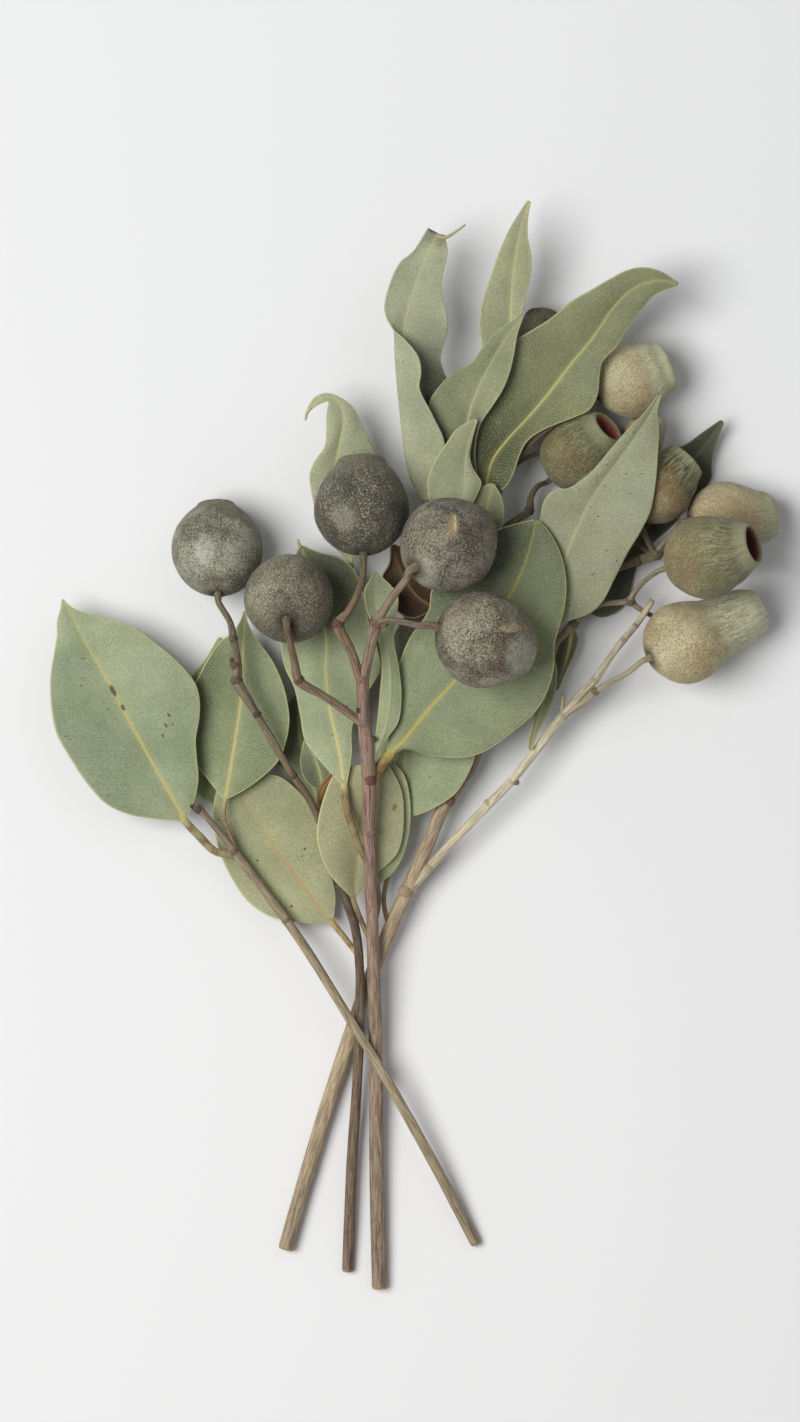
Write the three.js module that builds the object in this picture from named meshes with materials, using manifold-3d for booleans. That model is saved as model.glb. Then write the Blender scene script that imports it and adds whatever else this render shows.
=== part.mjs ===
// A loose bunch of dried eucalyptus, lying flat: four cut branches with broad grey-green leaves
// and thirteen round, short-necked seed pods.
// Millimetres. +Y runs from the cut ends to the leaf tips, +X to the right, +Z up, and z = 0 is the surface.

import * as THREE from "three";
import Module from "manifold-3d";

const wasm = await Module();
wasm.setup();

// Driving dimensions
const BLADE_THICKNESS = 0.85;
const STATION_SPACING = 11;
const FEWEST_STATIONS = 5;
const MOST_STATIONS = 12;
const HALF_COLUMNS = 2;
const LEAST_HALF_WIDTH = 0.65;
const SEAT_GAP = 0.3;
const PETIOLE_SIDES = 6;
const POD_SIDES = 14;
const COLLAR_LENGTH = 2.2;
const COLLAR_FLARE = 1.45;
const FLOOR_CUT = 40;
const BUNCH_SPAN = 500;
const FINEST_DETAIL = 0.01;

// Colours
const LEAF_GREEN = { color: 0x96a486, roughness: 0.75, metalness: 0 };
const LEAF_BROWN = { color: 0x6b4a30, roughness: 0.85, metalness: 0 };
const POD_GREY = { color: 0x6e6a62, roughness: 0.9, metalness: 0 };
const POD_TAN = { color: 0xa0936f, roughness: 0.8, metalness: 0 };
const BARK = { color: 0x7a6558, roughness: 0.85, metalness: 0 };

// Pods: centre and radius of the round body, the way the neck points, the neck's outline as
// [radius, height above the body's centre] from the shoulder to the rim, and the radius of the mouth.
const PODS = {
  pod_left: {
    centre: [-71.5, 71.2, 16], radius: 16.6, neckWay: [-0.03, 0.95, -0.3],
    neck: [[11.4, 12.4], [8.6, 15.1], [7, 16.6]], mouth: 4.4, skin: POD_GREY,
  },
  pod_left_inner: {
    centre: [-45.3, 53.2, 35], radius: 15.9, neckWay: [0.03, 0.5, -0.87],
    neck: [[11, 12], [8.4, 14.9], [7.4, 17]], mouth: 4.8, skin: POD_GREY,
  },
  pod_upper_left: {
    centre: [-19.1, 85.6, 36], radius: 17, neckWay: [-0.03, 0.97, -0.25],
    neck: [[11.8, 12.8], [9.5, 15.2], [8.6, 17]], mouth: 5.4, skin: POD_GREY,
  },
  pod_upper_middle: {
    centre: [11.7, 72, 47], radius: 17.1, neckWay: [0.7, 0.46, -0.54],
    neck: [[11.6, 12.8], [8.6, 15.6], [7.2, 17]], mouth: 4.6, skin: POD_GREY,
  },
  pod_centre: {
    centre: [24, 38.5, 48], radius: 17.1, neckWay: [0.95, -0.26, -0.16],
    neck: [[12.4, 12.6], [9.8, 15.8], [7.8, 17.8]], mouth: 4.8, skin: POD_GREY,
  },
  pod_top_right: {
    centre: [77.5, 132, 12.6], radius: 13.2, neckWay: [0.92, 0.38, -0.05],
    neck: [[10.9, 9.2], [9.4, 12], [9, 14.1]], mouth: 5.4, skin: POD_TAN,
  },
  pod_top_inner: {
    centre: [59, 106, 14.3], radius: 14, neckWay: [0.66, 0.59, 0.46],
    neck: [[11.4, 9.4], [9.4, 12.6], [7.2, 14.8]], mouth: 5.3, skin: POD_TAN,
  },
  pod_top_hidden: {
    centre: [45, 144.5, 10.8], radius: 11, neckWay: [0.1, 0.9, -0.4],
    neck: [[8.4, 8], [6.9, 10.4], [6.3, 12.3]], mouth: 4, skin: POD_TAN,
  },
  pod_right_inner: {
    centre: [87.5, 93.2, 17], radius: 12.6, neckWay: [0.68, 0.7, -0.2],
    neck: [[9.9, 9.2], [8.5, 12], [7.9, 14.3]], mouth: 5, skin: POD_TAN,
  },
  pod_right_small: {
    centre: [82.2, 112.1, 8], radius: 7.6, neckWay: [0.64, 0.77, -0.1],
    neck: [[5.5, 5.8], [4.6, 7.5], [4.2, 8.5]], mouth: 2.6, skin: POD_TAN,
  },
  pod_right_upper: {
    centre: [112, 82.3, 13.2], radius: 13.8, neckWay: [0.97, 0.05, -0.24],
    neck: [[10.8, 9.5], [9.9, 12.4], [9, 15.4], [7.8, 16.9]], mouth: 5.2, skin: POD_TAN,
  },
  pod_right_middle: {
    centre: [103.5, 68, 38.3], radius: 15, neckWay: [0.88, 0.24, 0.41],
    neck: [[11.9, 10.8], [9.9, 14.5], [7.9, 18.4]], mouth: 6.2, skin: POD_TAN,
  },
  pod_right_lower: {
    centre: [97, 38, 19.5], radius: 15, neckWay: [0.87, 0.39, -0.3],
    neck: [[12, 10.4], [11.5, 13.4], [10.9, 20], [10, 26], [8.4, 29.4]], mouth: 6,
    skin: POD_TAN,
  },
};

// Branches: each limb is a run of [x, y, z, radius]; one that names a pod ends on that pod's base.
const BRANCHES = {
  branch_left_leafy: [
    {
      sides: 7,
      run: [
        [22, -180, 2.1, 2], [8, -153, 7, 1.9], [-8, -124, 11, 1.8], [-14.4, -113, 12.2, 1.7],
        [-20, -104, 12.9, 1.7], [-28, -91, 12.9, 1.7], [-38, -75, 12.7, 1.7],
        [-46.5, -62.5, 12.5, 1.7], [-55, -51, 12.3, 1.6], [-60, -44.5, 12.5, 1.6],
        [-65.3, -37.5, 13, 1.7], [-71, -30, 14, 1.25], [-76.6, -23.6, 15, 1.2],
        [-78, -22, 15.2, 1.6], [-80, -21.2, 15.4, 1.1],
      ],
    },
  ],
  branch_left_pods: [
    {
      sides: 7,
      run: [
        [-24.5, -190, 2, 2.1], [-23, -150, 4.6, 2], [-21, -120, 7, 1.9], [-20.2, -96, 9.8, 1.8],
        [-20.1, -80, 11.2, 1.7], [-22, -64, 12.3, 1.65], [-27, -50, 13.4, 1.6],
        [-32, -33, 16.4, 1.45], [-38, -19, 20, 1.35], [-44, -10, 22, 1.3], [-50, 0, 23.5, 1.35],
        [-58, 13.5, 24.6, 1.45], [-64.2, 23.4, 25, 2.1],
      ],
    },
    {
      sides: 7, pod: "pod_left",
      run: [
        [-64.2, 23.4, 25, 1.9], [-64, 29, 25, 1.8], [-64.3, 34, 24.8, 1.15], [-65.4, 38.9, 24.3, 1.5],
        [-66.6, 45, 23.4, 1.1],
      ],
    },
    {
      sides: 6,
      run: [
        [-29, -43, 14.6, 1.2], [-32.8, -28, 11.5, 1.2], [-34, -10, 8, 1.2], [-33, 15, 7, 1.1],
        [-31, 35, 6.5, 1.1], [-27, 52, 7.5, 1], [-23.6, 62.5, 10.8, 1],
      ],
    },
  ],
  branch_main: [
    {
      sides: 8,
      run: [
        [-13, -196.2, 2.5, 2.8], [-14, -150, 4.7, 2.7], [-14.3, -112, 7.7, 2.5],
        [-14.6, -96, 9.4, 2.4], [-15, -82, 11.3, 2.4], [-15.5, -65, 15.2, 2.2],
        [-16.1, -50, 18.4, 2.2], [-16.7, -30, 24.4, 2.3], [-16.6, -12, 29.4, 2.7],
        [-17.8, 2, 32, 2.5], [-18.7, 14, 35, 2.2], [-19, 25, 37, 2.3],
      ],
    },
    {
      sides: 7, pod: "pod_upper_left",
      run: [
        [-19, 22, 36.6, 1.8], [-23, 34.5, 38.6, 1.65], [-27.6, 44, 40, 2.1], [-24.6, 48, 40.8, 1.35],
        [-21.6, 53, 41, 1.25], [-19, 61, 41, 1.2],
      ],
    },
    {
      sides: 7, pod: "pod_upper_middle",
      run: [
        [-19, 22, 36.6, 2], [-16.8, 33, 38.8, 1.8], [-14, 44.4, 41, 2.2], [-11.4, 49, 45, 1.5],
        [-7.6, 54.6, 50, 1.4], [-3, 60.4, 54.8, 1.4],
      ],
    },
    {
      sides: 7, pod: "pod_centre",
      run: [
        [-14, 44.4, 41, 1.8], [-9.6, 45.4, 44.4, 1.2], [-4, 44.7, 47.6, 1.1], [1.5, 43.5, 50.4, 1.2],
      ],
    },
    {
      sides: 7, pod: "pod_left_inner",
      run: [
        [-18.4, 8, 33.4, 1.5], [-27, 14.6, 35.6, 1.45], [-34, 19.2, 37.6, 1.4],
        [-41.6, 24, 39, 1.9], [-43.2, 31, 41.6, 1.35], [-44.8, 38, 45.4, 1.3],
      ],
    },
  ],
  branch_right: [
    {
      sides: 8,
      run: [
        [-47, -182, 2.7, 2.9], [-38, -150, 3.2, 2.8], [-28, -118, 4, 2.7], [-18, -88, 5.3, 2.6],
        [-7.6, -62, 8.4, 2.6], [0, -45, 9.6, 2.6], [5.2, -33, 10.3, 2.5], [9.6, -22.6, 11, 2.4],
        [14, -15.4, 11.5, 2.4], [20, -6.5, 12, 2.3], [25, 12, 13.6, 2.3], [29, 31, 15.3, 2.3],
        [30, 55, 17, 2.2], [28.4, 72, 18.5, 2.1], [27, 86, 20, 2.3],
      ],
    },
    {
      sides: 7,
      run: [
        [-4.4, -54, 9.2, 1.9], [4.3, -44.1, 10, 1.75], [14.2, -33.3, 11, 1.6], [26.4, -20.6, 12, 1.7],
        [34.5, -12.2, 12.5, 1.65], [43, -1.8, 13.2, 1.55], [53.2, 11.4, 14, 1.75], [59.2, 18.6, 14.3, 1.4],
        [64.6, 24.2, 14.6, 1.45], [70, 32.2, 14.6, 1.2], [75, 38.8, 14.6, 1.3], [79.4, 44, 14.7, 1.15],
        [82.6, 48.6, 15, 1.15], [85.4, 53.2, 15.5, 1.1],
      ],
    },
    { sides: 6, run: [[53, 11.6, 14, 1], [53, 15, 14.4, 0.8], [53.4, 18.6, 14.8, 0.75]] },
    {
      sides: 7, pod: "pod_right_lower",
      run: [
        [53.4, 11.4, 14, 1.3], [60, 15.8, 15.2, 1.15], [65, 20.2, 16.6, 1.35],
        [70, 23.4, 18.6, 1], [76, 26.7, 21.2, 1],
      ],
    },
    {
      sides: 7,
      run: [
        [29, 30, 15.3, 1.7], [40, 33.4, 15, 1.4], [50, 37.7, 14.5, 1.3], [57, 44.5, 14, 1.6],
        [66, 51.3, 13.5, 1.1], [75, 52.4, 13.5, 1.05], [77.5, 52.9, 13.5, 1.4],
        [79.4, 51, 12.8, 1], [82.6, 49, 11.9, 0.9], [86, 47.3, 9.6, 0.9], [90, 45.8, 6.4, 0.9],
        [94.6, 44.2, 3.5, 0.8],
      ],
    },
    {
      sides: 7, pod: "pod_right_middle",
      run: [[77.2, 52.8, 13.5, 1.3], [79, 56, 17.6, 1], [82.4, 60, 23.4, 1]],
    },
    {
      sides: 7,
      run: [
        [57, 44.5, 14, 1.4], [60, 50.6, 13, 1.2], [66, 59.4, 11.6, 1.2], [73, 64.6, 11.5, 1.3],
        [80, 67.3, 12, 1.7], [87, 69.8, 13, 2.2],
      ],
    },
    {
      sides: 6, pod: "pod_right_upper",
      run: [[86.4, 69.6, 13, 1.5], [90.4, 74.6, 15.6, 1.2], [94, 78.6, 17.2, 1.1]],
    },
    {
      sides: 6, pod: "pod_right_inner",
      run: [[86.4, 69.6, 13, 1.4], [83.2, 75.4, 15.6, 1.1], [80.8, 80, 17.8, 1.1]],
    },
    {
      sides: 6, pod: "pod_right_small",
      run: [
        [86, 69.4, 12.6, 1.2], [79, 75.4, 7, 1], [73.6, 87, 4.6, 0.9], [73.8, 98, 5, 0.9],
      ],
    },
    {
      sides: 7, pod: "pod_top_inner",
      run: [
        [29.2, 66, 18, 1.4], [31.6, 78, 16.6, 1.4], [37, 82.6, 14.6, 1.3], [41, 85.4, 12.8, 1.6],
        [41.6, 90, 11.2, 1.1], [44, 94.2, 9.6, 1],
      ],
    },
    {
      sides: 7, pod: "pod_top_right",
      run: [
        [27.2, 84, 19.8, 1.5], [32.6, 98.4, 19.6, 1.2], [38, 105.4, 20, 1.1], [43, 111, 21.2, 1.1],
        [49, 115.8, 22, 1.1], [54, 119.6, 21.8, 1], [60, 123.4, 18.6, 1],
      ],
    },
    {
      sides: 6, pod: "pod_top_hidden",
      run: [[27.2, 84, 19.8, 1.2], [31, 98, 15.6, 1], [37, 114, 12.6, 0.9], [42, 127, 13.6, 0.9]],
    },
    { sides: 6, run: [[33, 99.4, 19.4, 1], [38, 103.4, 15.6, 0.9], [44.2, 106.2, 12.8, 0.8]] },
  ],
};

// Leaves: the midrib and both edges as seen from above, each from base to tip, and the stalk from the
// base to its branch as [x, y, z, radius]. A fold is a further line between the midrib and the left edge.
const LEAVES = {
  leaf_left_large: {
    branch: "branch_left_leafy", cup: 0.8,
    mid: [
      [-83.3, -26.2, 14], [-88, -17.5, 15], [-94, -7, 15.5], [-99.5, 3, 16], [-105, 13, 16],
      [-112, 26, 15.5], [-119, 38, 15], [-127.2, 53.4, 13.6],
    ],
    left: [
      [-84.5, -26.5, 14], [-93, -25.6, 15], [-103, -24, 16.5], [-111, -20.4, 18], [-118, -13, 19],
      [-124, -4, 19], [-129, 5, 18.5], [-130.9, 14, 18], [-131.3, 25, 17], [-129.8, 35, 15.5],
      [-129, 40.5, 14.6], [-129.1, 45.4, 14], [-128, 49.6, 13.7], [-127.5, 53, 13.6],
    ],
    right: [
      [-82.3, -25.6, 14], [-80, -20, 16], [-78.3, -12, 17.5], [-78.8, -4, 18], [-79.2, 3, 18],
      [-78, 10, 18], [-77.8, 17, 18], [-79.3, 22.8, 18], [-84, 29, 18], [-90.5, 35, 18],
      [-97, 40, 17.5], [-103, 43.8, 17], [-110, 46, 16.5], [-117.4, 48, 15.6], [-123.6, 50.4, 14.6],
      [-126.9, 53.2, 13.6],
    ],
    stalk: [
      [-83.3, -26.2, 14, 1.3], [-78, -32, 13.6, 1.2], [-72, -37.6, 13.2, 1.1], [-64.6, -38.4, 13, 1.1],
    ],
  },
  leaf_left_pointed: {
    branch: "branch_left_leafy", cup: 0.7,
    mid: [
      [-68.6, -19, 13.4], [-66.8, -8, 12], [-64.8, 4, 11.5], [-63.2, 15, 12], [-62.5, 28, 13],
      [-62, 40, 14], [-61.5, 49.3, 14.5],
    ],
    left: [
      [-69.4, -18.4, 13], [-74, -12.5, 11.5], [-79, -6, 10.5], [-82.5, 3, 10], [-83, 13, 10.5],
      [-79.6, 22.5, 11.5], [-75.5, 30.5, 12.5], [-71, 37.5, 13.5], [-66.5, 41.2, 14],
      [-63.4, 45, 14.3], [-61.9, 49, 14.5],
    ],
    right: [
      [-67.6, -18.4, 13.4], [-62, -15.4, 14], [-54.5, -10, 15], [-49, -4, 16], [-46.5, 3, 17],
      [-45.5, 10, 17], [-46, 15, 17], [-47.6, 22, 16.6], [-51.5, 31, 15.8], [-56, 37.3, 15],
      [-58.6, 41.2, 14.6], [-60.6, 45.5, 14.5], [-61.1, 49, 14.5],
    ],
    stalk: [
      [-68.6, -19, 13.4, 1], [-69, -24.6, 13.6, 0.75], [-67.4, -30, 13.6, 0.7], [-63.4, -40, 12.9, 0.7],
    ],
  },
  leaf_left_back: {
    branch: "branch_left_leafy", cup: 0.4,
    mid: [
      [-68.4, -22.5, 3.4], [-73, -8, 3.4], [-76, 8, 4], [-75, 25, 5.5], [-70.6, 39.8, 7.5],
    ],
    left: [
      [-69.6, -22.4, 3.2], [-78.5, -17, 2.6], [-84, -6, 2.6], [-86, 8, 3], [-83.6, 19.6, 4.4],
      [-81, 25.5, 5.2], [-76, 31.8, 6.2], [-71.3, 39.6, 7.4],
    ],
    right: [
      [-67.2, -22, 3.2], [-63, -6, 3.2], [-62, 10, 4.2], [-65, 27, 5.6], [-69.9, 39.6, 7.4],
    ],
    stalk: [
      [-68.4, -22.5, 3.4, 1.1], [-60, -40, 2.6, 1], [-51, -57, 3, 1], [-44.6, -66, 7.6, 1],
      [-40, -72, 12.2, 1],
    ],
  },
  leaf_low_left: {
    branch: "branch_left_pods", cup: 0.8,
    mid: [
      [-30.4, -63, 8.6], [-34, -59, 8.2], [-42, -48, 8], [-50, -37, 8], [-57, -27, 8],
      [-62, -18, 8.5], [-66, -8.4, 9],
    ],
    left: [
      [-31.4, -63.3, 8.4], [-40, -63.4, 8], [-48, -62.4, 7.5], [-55, -59.8, 7], [-61, -55, 7],
      [-67, -46, 7], [-70.5, -38, 7], [-72.3, -30, 7.5], [-72.9, -24, 8], [-71.4, -15, 8.6],
      [-66.8, -8.6, 9],
    ],
    right: [
      [-29.7, -62, 8.8], [-29, -54, 9], [-30.6, -46, 9], [-33.2, -36, 9], [-35.4, -27, 9.2],
      [-38.2, -21, 9.6], [-44, -14.4, 10], [-49, -10.8, 10], [-54, -9.6, 9.8], [-60, -8, 9.4],
      [-65.4, -7.8, 9],
    ],
    stalk: [
      [-30.4, -63, 8.6, 1.3], [-27, -67, 9.6, 1.1], [-23, -72, 11.4, 1], [-21, -74.6, 11.8, 1],
    ],
  },
  leaf_low_middle: {
    branch: "branch_main", cup: 0.6,
    mid: [
      [-22.6, -54, 14.2], [-21.8, -45, 15.5], [-21, -34, 17.5], [-19, -22, 19.5], [-15, -12, 21],
      [-10.5, -5.9, 21.5],
    ],
    left: [
      [-23.6, -53.6, 14.6], [-26, -51, 16.8], [-29.4, -47.4, 18.6], [-33, -41, 20.4],
      [-35.2, -33, 21.4], [-34.8, -26, 22], [-32.5, -17, 22.2], [-29, -9.8, 22.2],
      [-20, -6.2, 21.6], [-11.4, -5.2, 21.5],
    ],
    right: [
      [-21.6, -54, 14], [-18.6, -51.4, 14.4], [-14.5, -45.7, 15.4], [-10, -42, 16.4],
      [-6.6, -38, 17], [-4.7, -31, 18], [-4.3, -24, 18.5], [-4.8, -17, 19.2], [-6.6, -11.6, 20.2],
      [-9.6, -6.8, 21.3],
    ],
    stalk: [
      [-22.6, -54, 14.2, 1.1], [-20.6, -60, 13.8, 1], [-18, -66, 13.6, 0.95], [-15.4, -70.6, 14, 0.9],
    ],
  },
  leaf_low_middle_back: {
    branch: "branch_main", cup: 0.5,
    mid: [
      [-13.8, -49, 12.2], [-13.8, -38, 13.6], [-13, -25, 15.2], [-11, -12, 16.3], [-8.6, -4.8, 17],
    ],
    left: [
      [-14.8, -48.6, 12.2], [-18, -45, 12.6], [-22, -37, 13.4], [-24, -26, 14.8], [-20, -14, 16],
      [-13, -7, 16.8], [-9.4, -4.6, 17],
    ],
    right: [
      [-12.8, -48.8, 12.2], [-8.4, -45.4, 12.8], [-5.4, -41, 13.4], [-2.8, -33, 14.5],
      [-1.9, -25, 15.4], [-2.4, -17, 16], [-4, -10.6, 16.5], [-7.7, -5.2, 17],
    ],
    stalk: [[-13.8, -49, 12.2, 1.1], [-13.2, -55, 12.2, 0.9], [-14.6, -63.6, 14.2, 0.9]],
  },
  leaf_middle_long: {
    branch: "branch_main", cup: 0.7,
    mid: [
      [-25.6, -14, 24.2], [-26.6, -6, 23.7], [-28, 2, 22.7], [-31, 15, 20.2], [-32.3, 28, 17.6],
      [-32, 38, 15.6], [-34, 49, 13.6], [-37, 60, 12.6], [-41.2, 72.4, 13.5],
    ],
    left: [
      [-26.5, -13.2, 24], [-33, -6, 22.2], [-39.5, 2.5, 19.2], [-41.5, 12, 17], [-43.5, 21.5, 15],
      [-47, 29, 13], [-48.5, 38, 11], [-49, 50, 9.6], [-46.5, 62, 10.6], [-41.9, 72.4, 13.4],
    ],
    right: [
      [-24.7, -13.2, 24.2], [-22.9, -2, 24], [-23, 6, 23.4], [-21.5, 12, 23], [-16, 22, 22.4],
      [-12.6, 28, 22.2], [-14, 36, 21.4], [-17, 46, 20.2], [-18.8, 55, 18.6], [-22.5, 64.5, 16.2],
      [-28, 68.6, 14.8], [-35, 70.4, 13.9], [-40.6, 72.8, 13.5],
    ],
    stalk: [
      [-25.6, -14, 24.2, 1.5], [-24.6, -22, 24.5, 1.4], [-22.2, -30, 24.6, 1.3],
      [-19.6, -37, 23.8, 1.1], [-16.8, -42, 21, 1.1],
    ],
    tail: [[-41.2, 72, 13.5, 0.7], [-42.1, 73.6, 13.9, 0.55], [-42.4, 75, 14.4, 0.4]],
  },
  leaf_middle_narrow: {
    branch: "branch_main", cup: 0.4,
    mid: [
      [-14.2, -1.4, 30.6], [-11, 6, 30.6], [-9, 18, 31], [-9.3, 30, 31], [-12, 42, 31],
      [-14.6, 52, 31], [-14.3, 63, 31],
    ],
    left: [
      [-14.9, -0.6, 30.7], [-14.4, 4, 31], [-13.4, 11, 31.5], [-12.6, 20, 31.8], [-12, 30, 31.8],
      [-13.5, 40, 32.2], [-17, 48, 32.2], [-18.2, 56.5, 31.8], [-16.4, 60, 31.4],
      [-14.9, 62.6, 31],
    ],
    right: [
      [-13.5, -0.9, 30.4], [-10, 4, 29.6], [-6.5, 9, 29.2], [-5.3, 18, 29], [-6, 28, 29],
      [-7.8, 38, 29.5], [-7.5, 45, 30], [-6.3, 51, 30], [-6.6, 55, 30], [-9, 58.2, 30.5],
      [-13.6, 62.4, 31],
    ],
    stalk: [[-14.2, -1.4, 30.6, 0.9], [-15, -4.6, 31, 0.9], [-17.2, -8, 30.6, 0.9]],
  },
  leaf_centre_broad: {
    branch: "branch_main", cup: 1.2,
    mid: [
      [-10, -3.2, 27.4], [-4, 3, 26.7], [4, 13, 26], [14, 24, 26], [24, 38, 26], [33, 53, 26.5],
      [38, 63, 27], [41, 72, 27.5], [43, 81.3, 28.4],
    ],
    left: [
      [-10.4, -2.4, 27.2], [-9.6, 3, 26], [-8.6, 10, 25], [-7.8, 19, 24.6], [-6.2, 28, 24.6],
      [-4, 35, 25], [-1, 41, 25], [3, 46, 25.5], [5, 50, 26], [5.8, 56, 26.5], [10, 64, 27],
      [19, 72, 28], [27, 77, 28.4], [34, 79.6, 28.4], [42.3, 81.7, 28.4],
    ],
    right: [
      [-9.2, -2.8, 27.2], [-4, -0.4, 26.2], [4, -2.5, 25], [12, -3.6, 24.5], [20, -3, 24],
      [27, 0, 24], [35, 6, 24], [41, 11, 24.5], [45, 16, 25], [48.5, 24, 26], [49.7, 31, 27],
      [49.6, 36, 27.4], [51, 42, 27.4], [53, 49, 27], [54, 57, 27], [53.2, 65, 27.4],
      [51, 72, 28], [47, 78.4, 28.2], [43.7, 81.3, 28.4],
    ],
    stalk: [[-10, -3.2, 27.4, 1.8], [-12.6, -6.6, 28.2, 1.6], [-16.4, -12, 29, 1.4]],
  },
  leaf_centre_back: {
    branch: "branch_right", cup: 0.6,
    mid: [
      [-5, -24.6, 12.4], [-4.4, -12, 13], [-3.2, 0, 14], [-1, 15, 15], [3, 34, 16], [8.4, 55, 17],
    ],
    left: [
      [-6, -24.2, 12.2], [-10, -21, 12], [-12.4, -12, 12.4], [-13, 2, 13.4], [-13, 18, 14.4],
      [-10.6, 33, 15.6], [-5.4, 45, 16.6], [1.6, 52.4, 17], [7.6, 55.4, 17],
    ],
    right: [
      [-4, -24.7, 12.6], [0, -24.4, 13.6], [4, -23, 14.6], [8, -21, 15.3], [14, -16.8, 16],
      [18, -11, 16.3], [21.3, -3, 16.6], [22, 8, 17.6], [21, 25, 18.6], [17, 40, 18.2],
      [9.4, 54.4, 17],
    ],
    stalk: [
      [-5, -24.6, 12.4, 1], [-7.6, -36, 11.2, 0.9], [-10.2, -47, 10.4, 0.8],
      [-11.4, -56, 9.8, 0.8], [-9.4, -65.6, 8.2, 0.8],
    ],
  },
  leaf_brown_curled: {
    branch: "branch_right", cup: -0.8, skin: LEAF_BROWN,
    mid: [[7, 50, 20.6], [0, 55, 21.6], [-5, 63, 22], [-8.2, 72.8, 23]],
    left: [
      [6, 49.2, 20.4], [-1, 46.4, 20.6], [-6, 48.6, 21.4], [-10, 54.6, 22.4], [-12.2, 61.2, 23.4],
      [-9.6, 66, 23.8], [-8.8, 72.2, 23.2],
    ],
    right: [[7.8, 50.8, 20.4], [6.6, 60, 20.6], [1, 69, 21.4], [-7.5, 73, 22.9]],
    stalk: [[7, 50, 20.6, 1], [17, 53.6, 19, 1], [30, 54, 17, 1]],
  },
  leaf_right_tall: {
    branch: "branch_right", cup: 0.9,
    mid: [
      [48, 41, 20], [50.5, 55, 21.5], [54.5, 70, 24.5], [60, 83, 28], [66, 94, 30.5],
      [72.5, 103, 31.5], [79, 112, 31], [84, 120, 29.5], [87.5, 126.8, 28],
    ],
    left: [
      [47.2, 41.6, 20], [44.6, 55, 19.8], [43.2, 70, 21.2], [44.8, 82, 24.8], [46.5, 89, 28],
      [50, 92.3, 29.6], [55, 93, 31], [60, 96.3, 32], [64, 99.8, 32.4], [70, 107, 32.6],
      [76, 113.8, 32], [82, 120, 30.2], [86.7, 126, 28.4],
    ],
    right: [
      [49, 41.2, 20], [54, 45.2, 20], [62, 48.2, 20], [67, 52.5, 21], [71, 60, 22.5],
      [76, 70, 24.5], [80.5, 77.5, 27], [84, 85, 30], [85.8, 95, 32], [86.6, 105, 32],
      [87, 113, 31], [86.5, 120, 29.8], [87.9, 126.2, 28.2],
    ],
    stalk: [[48, 41, 20, 1.3], [45.6, 37.8, 17.6, 1.2], [42.6, 34.4, 15, 1.1]],
  },
  leaf_right_back: {
    branch: "branch_right", cup: 0.4,
    mid: [
      [60, 50.4, 7], [66, 58, 3.6], [78, 72, 1.6], [90, 88, 1.4], [100, 103, 2.6], [106, 111, 5],
      [111, 118, 8],
    ],
    left: [
      [59, 51, 6.6], [60, 62, 3.4], [70, 80, 1.4], [82, 97, 1.4], [92, 107, 2.8], [98, 109.6, 4.4],
      [104.5, 114.2, 6.6], [110.2, 118.2, 8],
    ],
    right: [
      [61, 49.8, 6.6], [67, 47.2, 4.4], [73, 49.3, 3], [77, 54, 2.2], [79, 62, 1.6],
      [82, 69.5, 1.4], [88, 76, 1.3], [94, 81.5, 1.3], [98.5, 88, 1.3], [103, 92.5, 1.6],
      [107, 97.2, 2.6], [107.2, 103, 4.2], [108.7, 110, 6.4], [111.4, 117.2, 8],
    ],
    stalk: [[60, 50.4, 7, 1.1], [58.8, 48, 9.6, 1], [57.6, 45.6, 13.4, 1]],
  },
  leaf_right_hanging: {
    branch: "branch_right", cup: 0.4,
    mid: [[56.4, 42.4, 10.9], [55.4, 35.6, 9.4], [53.4, 28, 9], [50.8, 20.4, 9.6]],
    left: [
      [57.3, 42.4, 10.9], [58.6, 39.6, 9.8], [57.4, 34, 9.2], [54.6, 28, 9], [51.5, 21, 9.6],
    ],
    right: [[55.5, 42.2, 10.9], [52, 37, 9.4], [50, 29.6, 9.2], [50, 21.4, 9.6]],
    stalk: [[56.4, 42.4, 10.9, 0.9], [56.4, 43.6, 12, 0.9], [56.8, 44.4, 13.6, 0.9]],
  },
  leaf_right_twisted: {
    branch: "branch_right", cup: 0.3,
    mid: [
      [48.6, 34, 14.6], [47.6, 24, 15.2], [45.6, 15, 16], [43.3, 8, 16.4], [42, 3, 16.3],
      [41.3, -1, 16.2],
    ],
    left: [
      [49.4, 33.8, 14.6], [50.8, 28, 14.6], [50.3, 20, 15], [48.5, 13.5, 15.6], [45.5, 8, 16],
      [43.2, 3.5, 16.2], [41.9, -0.8, 16.2],
    ],
    right: [
      [47.8, 33.8, 14.6], [45, 25, 15.4], [43.6, 16, 16.4], [42.3, 9, 17.2], [40.9, 3, 16.8],
      [40.7, -0.6, 16.3],
    ],
    stalk: [[48.6, 34, 14.6, 0.9], [48.8, 35.6, 14.6, 0.9], [49, 37.4, 14.5, 0.8]],
  },
  leaf_top_folded: {
    branch: "branch_right", cup: 0.5,
    mid: [
      [4, 88, 22], [1, 100, 22], [-2, 118, 22.4], [-3.8, 135, 23], [-4.2, 150, 24.5],
      [-2, 160, 25.4], [1.5, 170, 26], [5, 178.5, 26], [7.8, 184.4, 26],
    ],
    fold: [
      [1.6, 89, 23.4], [-2.6, 99, 24.4], [-5, 115, 25.8], [-6.5, 130, 26.8], [-7.5, 146, 26.8],
      [-7, 157, 26.4], [-4.3, 167, 26.8], [0.2, 177, 26.4], [6, 184.8, 26],
    ],
    left: [
      [4.4, 88.6, 25], [8.6, 100, 27], [10.3, 109, 28.4], [6, 119, 29.6], [1.3, 129, 30.4],
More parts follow.
